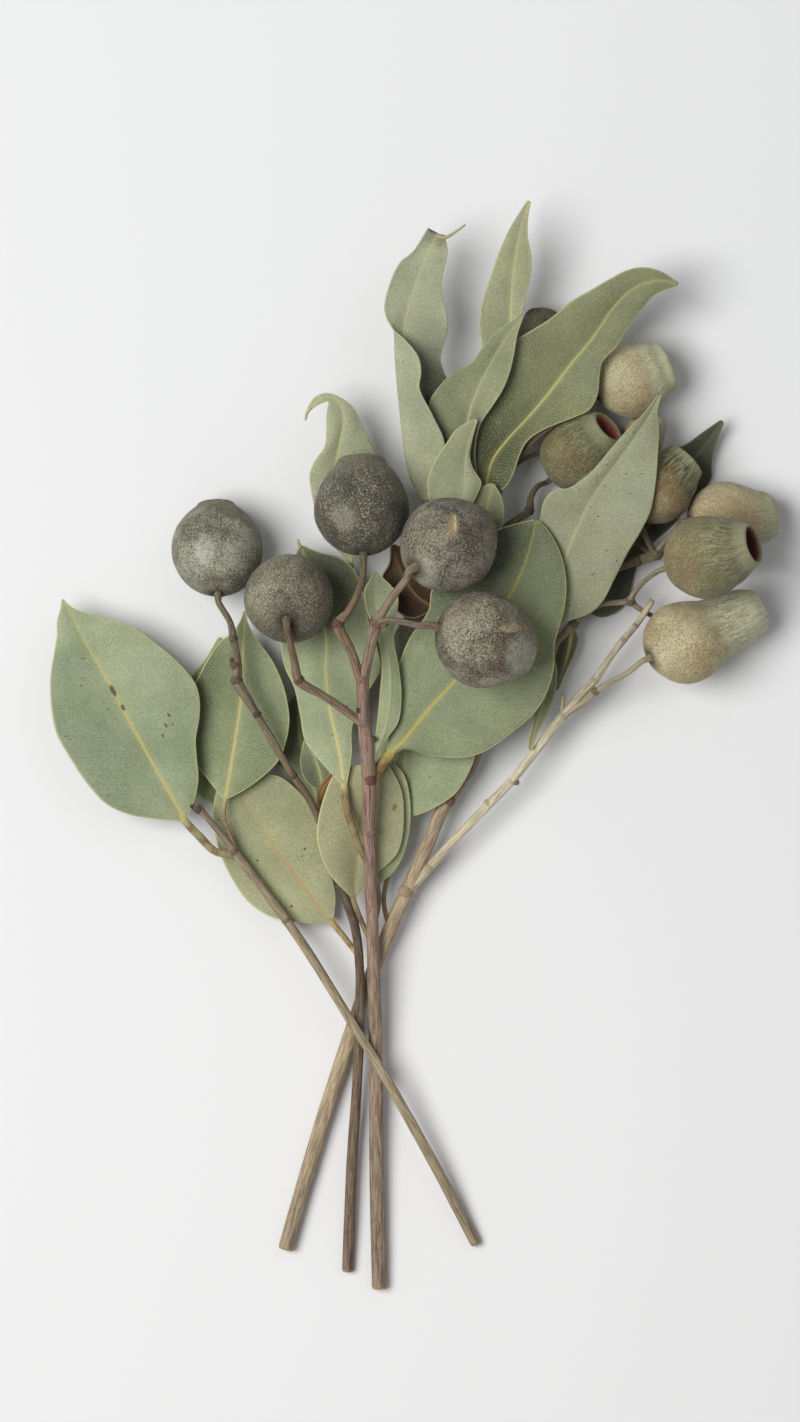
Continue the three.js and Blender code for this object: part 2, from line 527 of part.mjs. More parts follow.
      [2, 134, 30.4], [1, 140, 30], [-4, 146.5, 28.8], [-8, 150, 27.8], [-11, 157, 27.4],
      [-9.3, 166, 27.8], [-5.5, 174, 27.4], [-1, 177.8, 27], [4.6, 186.4, 26],
    ],
    right: [
      [5.2, 87.6, 21], [10, 100, 18.8], [13, 115, 18], [13, 128, 19], [9.8, 136, 20],
      [8.8, 140, 21], [11.5, 152, 23], [9, 166, 24.5], [11.3, 178, 25], [10.4, 184, 25.7],
    ],
    stalk: [[4, 88, 22, 1.1], [11, 83, 20.4, 1.1], [19, 78.6, 19.2, 1.1], [28, 76, 18.8, 1.1]],
    tail: [
      [7.6, 183.8, 26, 0.8], [10.2, 182.9, 26.4, 0.7], [13.4, 184.4, 26.6, 0.5], [17.8, 187.6, 26.2, 0.35],
    ],
  },
  leaf_top_narrow: {
    branch: "branch_right", cup: 0.5,
    mid: [
      [27.6, 98, 17], [30, 115, 16.4], [32, 135, 17.5], [34.2, 154, 20], [34.6, 165, 21.8],
      [36, 178, 23.6], [38.2, 188, 25], [40.6, 196.2, 26],
    ],
    left: [
      [26.9, 98.6, 17], [24.6, 120, 16.8], [24, 135, 17.4], [24.2, 144, 18.8], [23, 152, 20.4],
      [23.7, 158, 21.4], [25.6, 165, 22.4], [28, 172, 23.2], [31, 180, 24.2], [34, 186.4, 25],
      [39.9, 196, 26],
    ],
    right: [
      [28.4, 98.6, 17], [32.4, 118, 16.4], [34.4, 135, 18], [36, 146, 20], [38.2, 156, 21],
      [40, 165, 22], [41.4, 172, 23], [41.3, 177, 23.6], [40.1, 184, 24.6], [40.2, 190, 25.4],
      [41.2, 195.8, 26],
    ],
    stalk: [[27.6, 98, 17, 1.1], [28.6, 92, 16.4, 1.1], [27.6, 85, 17.4, 1.1]],
  },
  leaf_top_middle: {
    branch: "branch_right", cup: 0.6,
    mid: [
      [21, 97, 22.2], [18, 108, 23.4], [20, 122, 25.2], [26, 136, 27], [32, 146.5, 28],
      [38, 155.2, 29],
    ],
    left: [
      [20.2, 97.1, 22.2], [12.4, 106, 23], [7.2, 116, 24], [4.8, 123, 24.8], [8.5, 129.5, 25.5],
      [12.5, 133.5, 26], [16.5, 136, 26.6], [20.4, 138, 27], [23, 142, 27.6], [27, 147, 28],
      [31, 150.6, 28.6], [37.2, 154.8, 29],
    ],
    right: [
      [22, 97.4, 22.6], [21.4, 107, 25.2], [23.2, 116, 27.5], [27.5, 122.5, 28.8], [31, 128, 29.4],
      [33.5, 134, 29.4], [35.2, 141, 29.4], [36.4, 148, 29.2], [38.5, 154.4, 29],
    ],
    stalk: [[21, 97, 22.2, 1.1], [20.4, 90, 20.2, 1.1], [24.8, 83, 19.4, 1.1]],
  },
  leaf_top_small: {
    branch: "branch_right", cup: 0.5,
    mid: [[15, 82, 28.4], [17.3, 92, 28.8], [18, 102, 29.4], [19.5, 111, 30.4], [21.6, 118, 31]],
    left: [
      [14, 82.2, 28.6], [9, 84.4, 29.6], [5, 89, 31], [4.4, 95, 31.6], [5.8, 100, 32],
      [8, 104.5, 32.4], [11, 108.7, 32.8], [14.5, 113.7, 32.6], [20.9, 117.8, 31.2],
    ],
    right: [
      [16, 82.2, 28.4], [20, 87, 28.8], [22.6, 92, 29], [23.6, 95.2, 29], [20.7, 99.6, 28.8],
      [19.3, 104, 29], [19.9, 109, 29.8], [22, 117.4, 31],
    ],
    stalk: [[15, 82, 28.4, 1], [19, 76, 26, 1], [28.6, 69, 18.8, 1]],
  },
  leaf_top_long: {
    branch: "branch_right", cup: 1,
    mid: [
      [25.2, 92.4, 21.4], [27.5, 103, 20.2], [33, 110.5, 20], [40, 118, 20.5], [48, 127.5, 21.5],
      [56, 138, 23], [64, 147.5, 24.5], [71, 158, 26], [78, 164.6, 27.5], [86, 167.4, 28.7],
      [94.2, 166.2, 29],
    ],
    left: [
      [24.2, 92.8, 21.4], [20.8, 102, 21.2], [21, 112, 22], [25, 121, 23], [30, 130, 24],
      [33.5, 138, 24.5], [36.5, 146, 25], [42, 149.8, 25.5], [48, 153.5, 26], [56, 160, 26.6],
      [63, 164, 27.2], [70, 168, 27.8], [76, 171, 28.2], [82, 172, 28.6], [88, 170.6, 29],
      [93.7, 166.9, 29],
    ],
    right: [
      [26.2, 92.2, 21.6], [31, 92.6, 23], [34.5, 97, 24], [37.3, 105, 24.5], [40, 110, 24.5],
      [45, 113.7, 24.5], [50, 116, 24.5], [57, 118.7, 24.6], [62.5, 121.5, 25], [65.3, 127, 25.6],
      [66, 134, 26], [67, 138.5, 26.4], [72, 143.8, 27], [76, 150, 27], [81, 157, 27.6],
      [86, 162.5, 28.4], [93.6, 165.5, 29],
    ],
    stalk: [[25.2, 92.4, 21.4, 1.3], [26.4, 89.6, 22.2, 1.3], [27.4, 84, 22.4, 1.2]],
  },
  leaf_top_bud: {
    branch: "branch_right", cup: 0.4,
    mid: [[25.4, 76, 24], [25.6, 85, 25.2], [27.7, 94.8, 26.2]],
    left: [[24.6, 76.4, 24], [20.8, 81, 25], [19.9, 87, 25.8], [21.5, 92, 26], [26.9, 94.9, 26.2]],
    right: [[26.4, 76.4, 24], [30.6, 79.6, 24.6], [31.7, 84.6, 25.4], [30.8, 90, 26], [28.4, 94.4, 26.2]],
    stalk: [[25.4, 76, 24, 1], [26.4, 78, 22.4, 1], [27.6, 79.6, 19.6, 1]],
  },
  leaf_upper_left: {
    branch: "branch_left_pods", cup: 0.8,
    mid: [
      [-23.2, 66.5, 12], [-25, 78, 13], [-28, 92, 14.4], [-28.5, 103, 16], [-27, 112, 17.4],
      [-26, 119, 18.6], [-27.6, 124, 19.6], [-31.4, 126.2, 20.4], [-35.4, 124.8, 20.8],
      [-38.4, 121.4, 20.4],
    ],
    left: [
      [-24, 67, 12], [-32, 76, 13], [-36, 86, 14.2], [-37.6, 94, 15.6], [-38, 98.4, 16.6],
      [-36.2, 103, 17.4], [-32.6, 108, 18], [-31.8, 114, 18.6], [-31.7, 120, 19.2],
      [-31.2, 124.6, 20.2], [-34.6, 123.6, 20.6], [-38.6, 120.8, 20.4],
    ],
    right: [
      [-22.4, 67, 12], [-16, 78, 12.4], [-12.8, 92, 13], [-14.3, 104.5, 15], [-17, 110.5, 16.4],
      [-20.5, 119, 18], [-23, 123, 19], [-26.8, 125.6, 19.8], [-31.6, 127.4, 20.4],
      [-36, 126, 20.8], [-38.9, 122, 20.4],
    ],
    stalk: [[-23.2, 66.5, 12, 1], [-23, 64.6, 11.6, 0.9], [-23.8, 62, 10.6, 0.8]],
    tail: [[-37.6, 122.3, 20.5, 0.7], [-39, 120.4, 20.2, 0.6], [-39.6, 117.8, 19.6, 0.4]],
  },
  leaf_inner_dark: {
    branch: "branch_left_pods", cup: 0.4,
    mid: [[-34.6, -20, 6], [-39, -8, 4.6], [-42, 5, 4.2], [-42.4, 19, 5]],
    left: [
      [-35.6, -20, 5.8], [-44, -14, 4], [-50, -4, 3.6], [-50.5, 8, 3.6], [-46.4, 15.4, 4.6],
      [-43.2, 19, 5],
    ],
    right: [[-33.6, -19.4, 5.8], [-34, -7, 4.4], [-36.5, 6, 4.2], [-38.4, 14, 4.6], [-41.6, 19, 5]],
    stalk: [[-34.6, -20, 6, 1], [-33.9, -22.6, 8, 0.9], [-33.3, -25.4, 10.6, 0.9]],
  },
  leaf_inner_small: {
    branch: "branch_left_pods", cup: 0.3,
    mid: [[-33, -15.6, 12.6], [-35.4, -6, 13.4], [-39.4, 2.6, 14]],
    left: [[-33.8, -15.6, 12.6], [-39.2, -12.4, 12], [-41.5, -6, 12.6], [-40.2, 2.6, 14]],
    right: [[-32.2, -15, 12.6], [-30.8, -9, 13.2], [-33, -1, 14], [-38.6, 3, 14]],
    stalk: [[-33, -15.6, 12.6, 0.9], [-33.2, -17.6, 11.6, 0.8], [-33.6, -19.6, 9.8, 0.8]],
  },
  bract_brown: {
    branch: "branch_left_pods", cup: 0.3, skin: LEAF_BROWN,
    mid: [[-34.8, -18.8, 14.2], [-32.8, -14.2, 15.2], [-29.6, -9.8, 16.4]],
    left: [[-35.5, -18.4, 14.2], [-34.6, -14.6, 15], [-32.2, -11.2, 16], [-30.2, -9.4, 16.4]],
    right: [[-34, -18.8, 14.2], [-31.4, -15, 15], [-29.9, -12, 16], [-29, -10.3, 16.4]],
    stalk: [[-34.8, -18.8, 14.2, 0.9], [-34.6, -22, 13.6, 0.8], [-33, -27, 11.3, 0.8]],
  },
};

// A closed solid from a vertex list and its triangles.
function solidOf(vertices, triangles) {
  return new wasm.Manifold(
    new wasm.Mesh({
      numProp: 3,
      vertProperties: new Float32Array(vertices.flatMap((v) => [v.x, v.y, v.z])),
      triVerts: new Uint32Array(triangles.flat()),
    }),
  );
}

function vector(values) {
  return new THREE.Vector3(values[0], values[1], values[2]);
}

function curveThrough(points) {
  return new THREE.CatmullRomCurve3(points.map(vector), false, "centripetal");
}

// A round limb along [x, y, z, radius] points, closed at both ends; extra makes it that much
// fatter and longer.
function limb(run, sides, extra = 0) {
  const curve = curveThrough(run);
  const pieces = run.length - 1;
  const samples = [];
  for (let i = 0; i < pieces; i++) {
    const length = vector(run[i]).distanceTo(vector(run[i + 1]));
    const cuts = Math.max(1, Math.round(length / 16));
    for (let c = 0; c < cuts; c++) samples.push(i + c / cuts);
  }
  samples.push(pieces);
  let across = null;
  const vertices = [];
  const triangles = [];
  samples.forEach((s, ring) => {
    const way = curve.getTangent(s / pieces);
    const at = curve.getPoint(s / pieces);
    if (ring === 0) at.addScaledVector(way, -extra);
    if (ring === samples.length - 1) at.addScaledVector(way, extra);
    if (!across) across = Math.abs(way.z) < 0.9 ? new THREE.Vector3(0, 0, 1) : new THREE.Vector3(1, 0, 0);
    across = across.clone().addScaledVector(way, -across.dot(way)).normalize();
    const other = new THREE.Vector3().crossVectors(way, across);
    const k = Math.min(Math.floor(s), pieces - 1);
    const radius = THREE.MathUtils.lerp(run[k][3], run[k + 1][3], s - k) + extra;
    for (let j = 0; j < sides; j++) {
      const turn = (2 * Math.PI * j) / sides;
      vertices.push(
        at.clone()
          .addScaledVector(across, radius * Math.cos(turn))
          .addScaledVector(other, radius * Math.sin(turn)),
      );
      if (ring > 0) {
        const a = (ring - 1) * sides + j;
        const b = (ring - 1) * sides + ((j + 1) % sides);
        triangles.push([a, b, b + sides], [a, b + sides, a + sides]);
      }
    }
  });
  const last = (samples.length - 1) * sides;
  for (let j = 1; j < sides - 1; j++) {
    triangles.push([0, j + 1, j], [last, last + j, last + j + 1]);
  }
  return solidOf(vertices, triangles);
}

// Stations along a blade, closer together near the base and the tip.
function stationAt(i, stations) {
  const even = i / stations;
  return 0.5 * even + 0.25 * (1 - Math.cos(Math.PI * even));
}

// One half of a blade at a station: points from the midrib out to the edge.
function halfAcross(rails, t, side, cup) {
  const [mid, ...rest] = rails.map((rail) => rail.getPointAt(t));
  const edge = rest[rest.length - 1];
  const half = Math.hypot(edge.x - mid.x, edge.y - mid.y);
  if (rest.length === 1 && half < LEAST_HALF_WIDTH) {
    edge.copy(mid).addScaledVector(side, LEAST_HALF_WIDTH);
  }
  const points = [];
  if (rest.length === 1) {
    const bow = cup * Math.min(1, half / 8);
    for (let c = 1; c <= HALF_COLUMNS; c++) {
      const s = c / HALF_COLUMNS;
      const point = mid.clone().lerp(edge, s);
      point.z += bow * 4 * s * (1 - s);
      points.push(point);
    }
  } else {
    const rolled = new THREE.CatmullRomCurve3([mid, ...rest], false, "centripetal");
    for (let c = 1; c <= 2 * HALF_COLUMNS; c++) points.push(rolled.getPoint(c / (2 * HALF_COLUMNS)));
  }
  return points;
}

// A thin closed blade between its two edges.
function blade(leaf) {
  const mid = curveThrough(leaf.mid);
  const leftRails = leaf.fold
    ? [mid, curveThrough(leaf.fold), curveThrough(leaf.left)]
    : [mid, curveThrough(leaf.left)];
  const rightRails = [mid, curveThrough(leaf.right)];
  const stations = THREE.MathUtils.clamp(
    Math.round(mid.getLength() / STATION_SPACING),
    FEWEST_STATIONS,
    MOST_STATIONS,
  );
  const rows = [];
  for (let i = 0; i <= stations; i++) {
    const t = stationAt(i, stations);
    const way = mid.getTangentAt(t);
    const side = new THREE.Vector3(way.y, -way.x, 0).normalize();
    const left = halfAcross(leftRails, t, side.clone().negate(), leaf.cup);
    const right = halfAcross(rightRails, t, side, leaf.cup);
    rows.push([...left.reverse(), mid.getPointAt(t), ...right]);
  }
  const columns = rows[0].length;
  const upper = [];
  const lower = [];
  rows.forEach((row, i) => {
    row.forEach((point, j) => {
      const along = rows[Math.min(i + 1, stations)][j].clone().sub(rows[Math.max(i - 1, 0)][j]);
      const across = row[Math.min(j + 1, columns - 1)].clone().sub(row[Math.max(j - 1, 0)]);
      const up = across.cross(along).normalize();
      upper.push(point.clone().addScaledVector(up, BLADE_THICKNESS / 2));
      lower.push(point.clone().addScaledVector(up, -BLADE_THICKNESS / 2));
    });
  });
  const under = upper.length;
  const triangles = [];
  const quad = (a, b, c, d) => triangles.push([a, b, c], [a, c, d]);
  for (let i = 0; i < stations; i++) {
    const at = i * columns;
    for (let j = 0; j < columns - 1; j++) {
      quad(at + j, at + j + 1, at + columns + j + 1, at + columns + j);
      triangles.push(
        [under + at + j, under + at + columns + j + 1, under + at + j + 1],
        [under + at + j, under + at + columns + j, under + at + columns + j + 1],
      );
    }
    quad(at, at + columns, under + at + columns, under + at);
    const end = at + columns - 1;
    quad(end, under + end, under + end + columns, end + columns);
  }
  const tip = stations * columns;
  for (let j = 0; j < columns - 1; j++) {
    quad(j, under + j, under + j + 1, j + 1);
    quad(tip + j, tip + j + 1, under + tip + j + 1, under + tip + j);
  }
  return solidOf([...upper, ...lower], triangles);
}

// A pod as a turned shape along its own axis: round body, short neck, rolled rim and a cupped mouth.
function pod({ centre, radius, neckWay, neck, mouth }) {
  const [rim, rimHeight] = neck[neck.length - 1];
  const profile = [
    [0.22 * radius, -0.975 * radius],
    [0.56 * radius, -0.83 * radius],
    [0.84 * radius, -0.54 * radius],
    [0.98 * radius, -0.2 * radius],
    [0.985 * radius, 0.17 * radius],
    [0.88 * radius, 0.47 * radius],
    ...neck,
    [rim * 0.88, rimHeight + 0.12 * rim],
    [mouth, rimHeight + 0.02 * rim],
    [mouth * 0.86, rimHeight - 0.8 * mouth],
  ];
  const vertices = [];
  const triangles = [];
  profile.forEach(([out, up], ring) => {
    for (let j = 0; j < POD_SIDES; j++) {
      const turn = (2 * Math.PI * j) / POD_SIDES;
      vertices.push(new THREE.Vector3(out * Math.cos(turn), out * Math.sin(turn), up));
      if (ring > 0) {
        const a = (ring - 1) * POD_SIDES + j;
        const b = (ring - 1) * POD_SIDES + ((j + 1) % POD_SIDES);
        triangles.push([a, b, b + POD_SIDES], [a, b + POD_SIDES, a + POD_SIDES]);
      }
    }
  });
  const base = vertices.push(new THREE.Vector3(0, 0, -radius)) - 1;
  const well = vertices.push(new THREE.Vector3(0, 0, rimHeight - 0.95 * mouth)) - 1;
  const last = (profile.length - 1) * POD_SIDES;
  for (let j = 0; j < POD_SIDES; j++) {
    const next = (j + 1) % POD_SIDES;
    triangles.push([base, next, j], [well, last + j, last + next]);
  }
  const turn = new THREE.Quaternion().setFromUnitVectors(
    new THREE.Vector3(0, 0, 1),
    vector(neckWay).normalize(),
  );
  vertices.forEach((v) => v.applyQuaternion(turn).add(vector(centre)));
  return solidOf(vertices, triangles);
}

// The last points of a stalk: it flares into a collar just short of the pod's base.
function collar({ centre, radius, neckWay }, stalkRadius) {
  const way = vector(neckWay).normalize();
  const end = vector(centre).addScaledVector(way, -(radius + SEAT_GAP));
  const start = end.clone().addScaledVector(way, -COLLAR_LENGTH);
  return [
    [...start.toArray(), stalkRadius],
    [...end.toArray(), stalkRadius * COLLAR_FLARE],
  ];
}

function limbs(branch, extra) {
  return branch.map(({ run, sides, pod: held }) => {
    const whole = held ? [...run, ...collar(PODS[held], run[run.length - 1][3])] : run;
    return limb(whole, sides, extra);
  });
}

function joined(solids) {
  return solids.reduce((sum, next) => sum.add(next));
}

// Everything under the surface is cut off flat, so what rests has a small flat spot.
const underFloor = (() => {
  const slab = new THREE.BoxGeometry(BUNCH_SPAN, BUNCH_SPAN, FLOOR_CUT).translate(0, 0, -FLOOR_CUT / 2);
  const place = slab.getAttribute("position");
  const corners = [];
  const seen = new Map();
  const number = [];
  for (let i = 0; i < place.count; i++) {
    const corner = new THREE.Vector3().fromBufferAttribute(place, i);
    const key = corner.toArray().join();
    if (!seen.has(key)) seen.set(key, corners.push(corner) - 1);
    number.push(seen.get(key));
  }
  const faces = [];
  for (let i = 0; i < slab.index.count; i += 3) {
    faces.push([0, 1, 2].map((k) => number[slab.index.getX(i + k)]));
  }
  return solidOf(corners, faces);
})();

// The blade with its stalk, and its drawn-out tip where it has one, cut clear of the branch it grows on.
function leafSolid(leaf) {
  const mid = curveThrough(leaf.mid);
  const root = mid.getPointAt(0.07);
  const stalk = [[root.x, root.y, root.z, 0.55], ...leaf.stalk];
  const parts = [blade(leaf), limb(stalk, PETIOLE_SIDES)];
  if (leaf.tail) parts.push(limb(leaf.tail, PETIOLE_SIDES));
  return joined(parts).subtract(joined(limbs(BRANCHES[leaf.branch], SEAT_GAP)));
}

// The solid without slivers too small to see, as a named mesh.
function meshOf(name, solid, skin) {
  const clean = solid.subtract(underFloor).simplify(FINEST_DETAIL);
  const { numProp, vertProperties, triVerts } = clean.getMesh();
  const place = new Float32Array((vertProperties.length / numProp) * 3);
  for (let i = 0; i < place.length / 3; i++) {
    for (let k = 0; k < 3; k++) place[3 * i + k] = vertProperties[numProp * i + k];
  }
  const geometry = new THREE.BufferGeometry();
  geometry.setAttribute("position", new THREE.BufferAttribute(place, 3));
  geometry.setIndex(new THREE.BufferAttribute(new Uint32Array(triVerts), 1));
  geometry.computeVertexNormals();
  const mesh = new THREE.Mesh(geometry, new THREE.MeshStandardMaterial(skin));
  mesh.name = name;
  return mesh;
}

const bunch = new THREE.Group();
bunch.name = "dried_eucalyptus_pod_bunch";
for (const [name, branch] of Object.entries(BRANCHES)) {
  bunch.add(meshOf(name, joined(limbs(branch, 0)), BARK));
}
for (const [name, leaf] of Object.entries(LEAVES)) {
  bunch.add(meshOf(name, leafSolid(leaf), leaf.skin ?? LEAF_GREEN));
}
for (const [name, seed] of Object.entries(PODS)) {
  bunch.add(meshOf(name, pod(seed), seed.skin));
}

export default bunch;
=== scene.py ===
"""A bunch of dried eucalyptus, lying flat: grey-green leaves, round short-necked pods and cut branches.

The tables and shapes are in millimetres and go into Blender in metres. +Y runs from the cut ends to the leaf
tips, +X to the right, +Z up, and z = 0 is the surface that the bunch lies on.
"""

import math

import bpy
import numpy as np
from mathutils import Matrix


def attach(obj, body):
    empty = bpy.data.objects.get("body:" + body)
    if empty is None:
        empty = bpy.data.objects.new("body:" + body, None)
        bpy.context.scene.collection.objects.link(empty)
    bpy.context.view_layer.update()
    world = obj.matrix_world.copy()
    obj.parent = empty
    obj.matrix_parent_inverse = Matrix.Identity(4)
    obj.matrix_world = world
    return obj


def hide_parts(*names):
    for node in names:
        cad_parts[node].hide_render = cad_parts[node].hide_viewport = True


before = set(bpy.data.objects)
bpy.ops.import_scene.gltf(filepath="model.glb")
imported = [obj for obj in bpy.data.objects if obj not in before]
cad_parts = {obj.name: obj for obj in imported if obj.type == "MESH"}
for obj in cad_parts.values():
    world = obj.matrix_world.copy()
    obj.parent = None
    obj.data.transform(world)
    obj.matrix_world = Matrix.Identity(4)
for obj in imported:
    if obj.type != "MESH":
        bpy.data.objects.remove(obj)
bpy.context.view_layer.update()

MM = 0.001

# How finely the forms are meshed.
CURVE_STEPS = 60
BLADE_ROWS_PER_MM = 0.85
LEAST_BLADE_ROWS = 24
BLADE_COLUMNS = 15
STALK_SIDES = 14
STALK_STEP = 0.9
TAIL_STEP = 0.6
LIMB_SIDES = 18
LIMB_STEP = 1.1
POD_TURNS = 112
POD_ROWS = 104
KNOB_TURNS = 14
KNOB_ROWS = 9

# Sizes of the finer forms, in millimetres.
BLADE_HALF_THICKNESS = 0.2
MARGIN_HALF_THICKNESS = 0.3
MARGIN_BEAD = 0.45
MARGIN_LIP = 0.22
LEAST_HALF_WIDTH = 0.3
BOW_WIDTH = 8
RIB_HEIGHT = 0.26
TIP_RIB_HEIGHT = 0.06
RIB_WIDTH = 0.42
TIP_RIB_WIDTH = 0.22
RIPPLE_WIDTH = 6
RIM_READS_TO = 12
# Depth and length of the waves in a blade's margin.
RIPPLES = ((0.42, 17), (0.2, 7.5))
POD_RIB_DEPTH = 0.06
# How wide a cut end is, as a share of its limb.
CUT_WIDTH = 0.86
STALK_HEIGHT = 0.85

# Seeds of the first pod, leaf and branch.
POD_SEED = 3
LEAF_SEED = 41
BRANCH_SEED = 131

# Pods, branches and leaves

# A pod is turned about the way its neck points. Its neck is (radius, height) points up from the shoulder.
PODS = {
    "pod_left": {
        "centre": (-71.5, 71.2, 16), "radius": 16.6, "neck_way": (-0.03, 0.95, -0.3),
        "neck": [(11.4, 12.4), (8.6, 15.1), (7, 16.6)], "mouth": 4.4, "skin": "pod_grey",
    },
    "pod_left_inner": {
        "centre": (-45.3, 53.2, 35), "radius": 15.9, "neck_way": (0.03, 0.5, -0.87),
        "neck": [(11, 12), (8.4, 14.9), (7.4, 17)], "mouth": 4.8, "skin": "pod_grey",
    },
    "pod_upper_left": {
        "centre": (-19.1, 85.6, 36), "radius": 17, "neck_way": (-0.03, 0.97, -0.25),
        "neck": [(11.8, 12.8), (9.5, 15.2), (8.6, 17)], "mouth": 5.4, "skin": "pod_grey",
    },
    "pod_upper_middle": {
        "centre": (11.7, 72, 47), "radius": 17.1, "neck_way": (0.7, 0.46, -0.54),
        "neck": [(11.6, 12.8), (8.6, 15.6), (7.2, 17)], "mouth": 4.6, "skin": "pod_grey",
    },
    "pod_centre": {
        "centre": (24, 38.5, 48), "radius": 17.1, "neck_way": (0.95, -0.26, -0.16),
        "neck": [(12.4, 12.6), (9.8, 15.8), (7.8, 17.8)], "mouth": 4.8, "skin": "pod_grey",
    },
    "pod_top_right": {
        "centre": (77.5, 132, 12.6), "radius": 13.2, "neck_way": (0.92, 0.38, -0.05),
        "neck": [(10.9, 9.2), (9.4, 12), (9, 14.1)], "mouth": 5.4, "skin": "pod_tan",
    },
    "pod_top_inner": {
        "centre": (59, 106, 14.3), "radius": 14, "neck_way": (0.66, 0.59, 0.46),
        "neck": [(11.4, 9.4), (9.4, 12.6), (7.2, 14.8)], "mouth": 5.3, "skin": "pod_tan",
    },
    "pod_top_hidden": {
        "centre": (45, 144.5, 10.8), "radius": 11, "neck_way": (0.1, 0.9, -0.4),
        "neck": [(8.4, 8), (6.9, 10.4), (6.3, 12.3)], "mouth": 4, "skin": "pod_tan",
    },
    "pod_right_inner": {
        "centre": (87.5, 93.2, 17), "radius": 12.6, "neck_way": (0.68, 0.7, -0.2),
        "neck": [(9.9, 9.2), (8.5, 12), (7.9, 14.3)], "mouth": 5, "skin": "pod_tan",
    },
    "pod_right_small": {
        "centre": (82.2, 112.1, 8), "radius": 7.6, "neck_way": (0.64, 0.77, -0.1),
        "neck": [(5.5, 5.8), (4.6, 7.5), (4.2, 8.5)], "mouth": 2.6, "skin": "pod_tan",
    },
    "pod_right_upper": {
        "centre": (112, 82.3, 13.2), "radius": 13.8, "neck_way": (0.97, 0.05, -0.24),
        "neck": [(10.8, 9.5), (9.9, 12.4), (9, 15.4), (7.8, 16.9)], "mouth": 5.2, "skin": "pod_tan",
    },
    "pod_right_middle": {
        "centre": (103.5, 68, 38.3), "radius": 15, "neck_way": (0.88, 0.24, 0.41),
        "neck": [(11.9, 10.8), (9.9, 14.5), (7.9, 18.4)], "mouth": 6.2, "skin": "pod_tan",
    },
    "pod_right_lower": {
        "centre": (97, 38, 19.5), "radius": 15, "neck_way": (0.87, 0.39, -0.3),
        "neck": [(12, 10.4), (11.5, 13.4), (10.9, 20), (10, 26), (8.4, 29.4)], "mouth": 6,
        "skin": "pod_tan",
    },
}
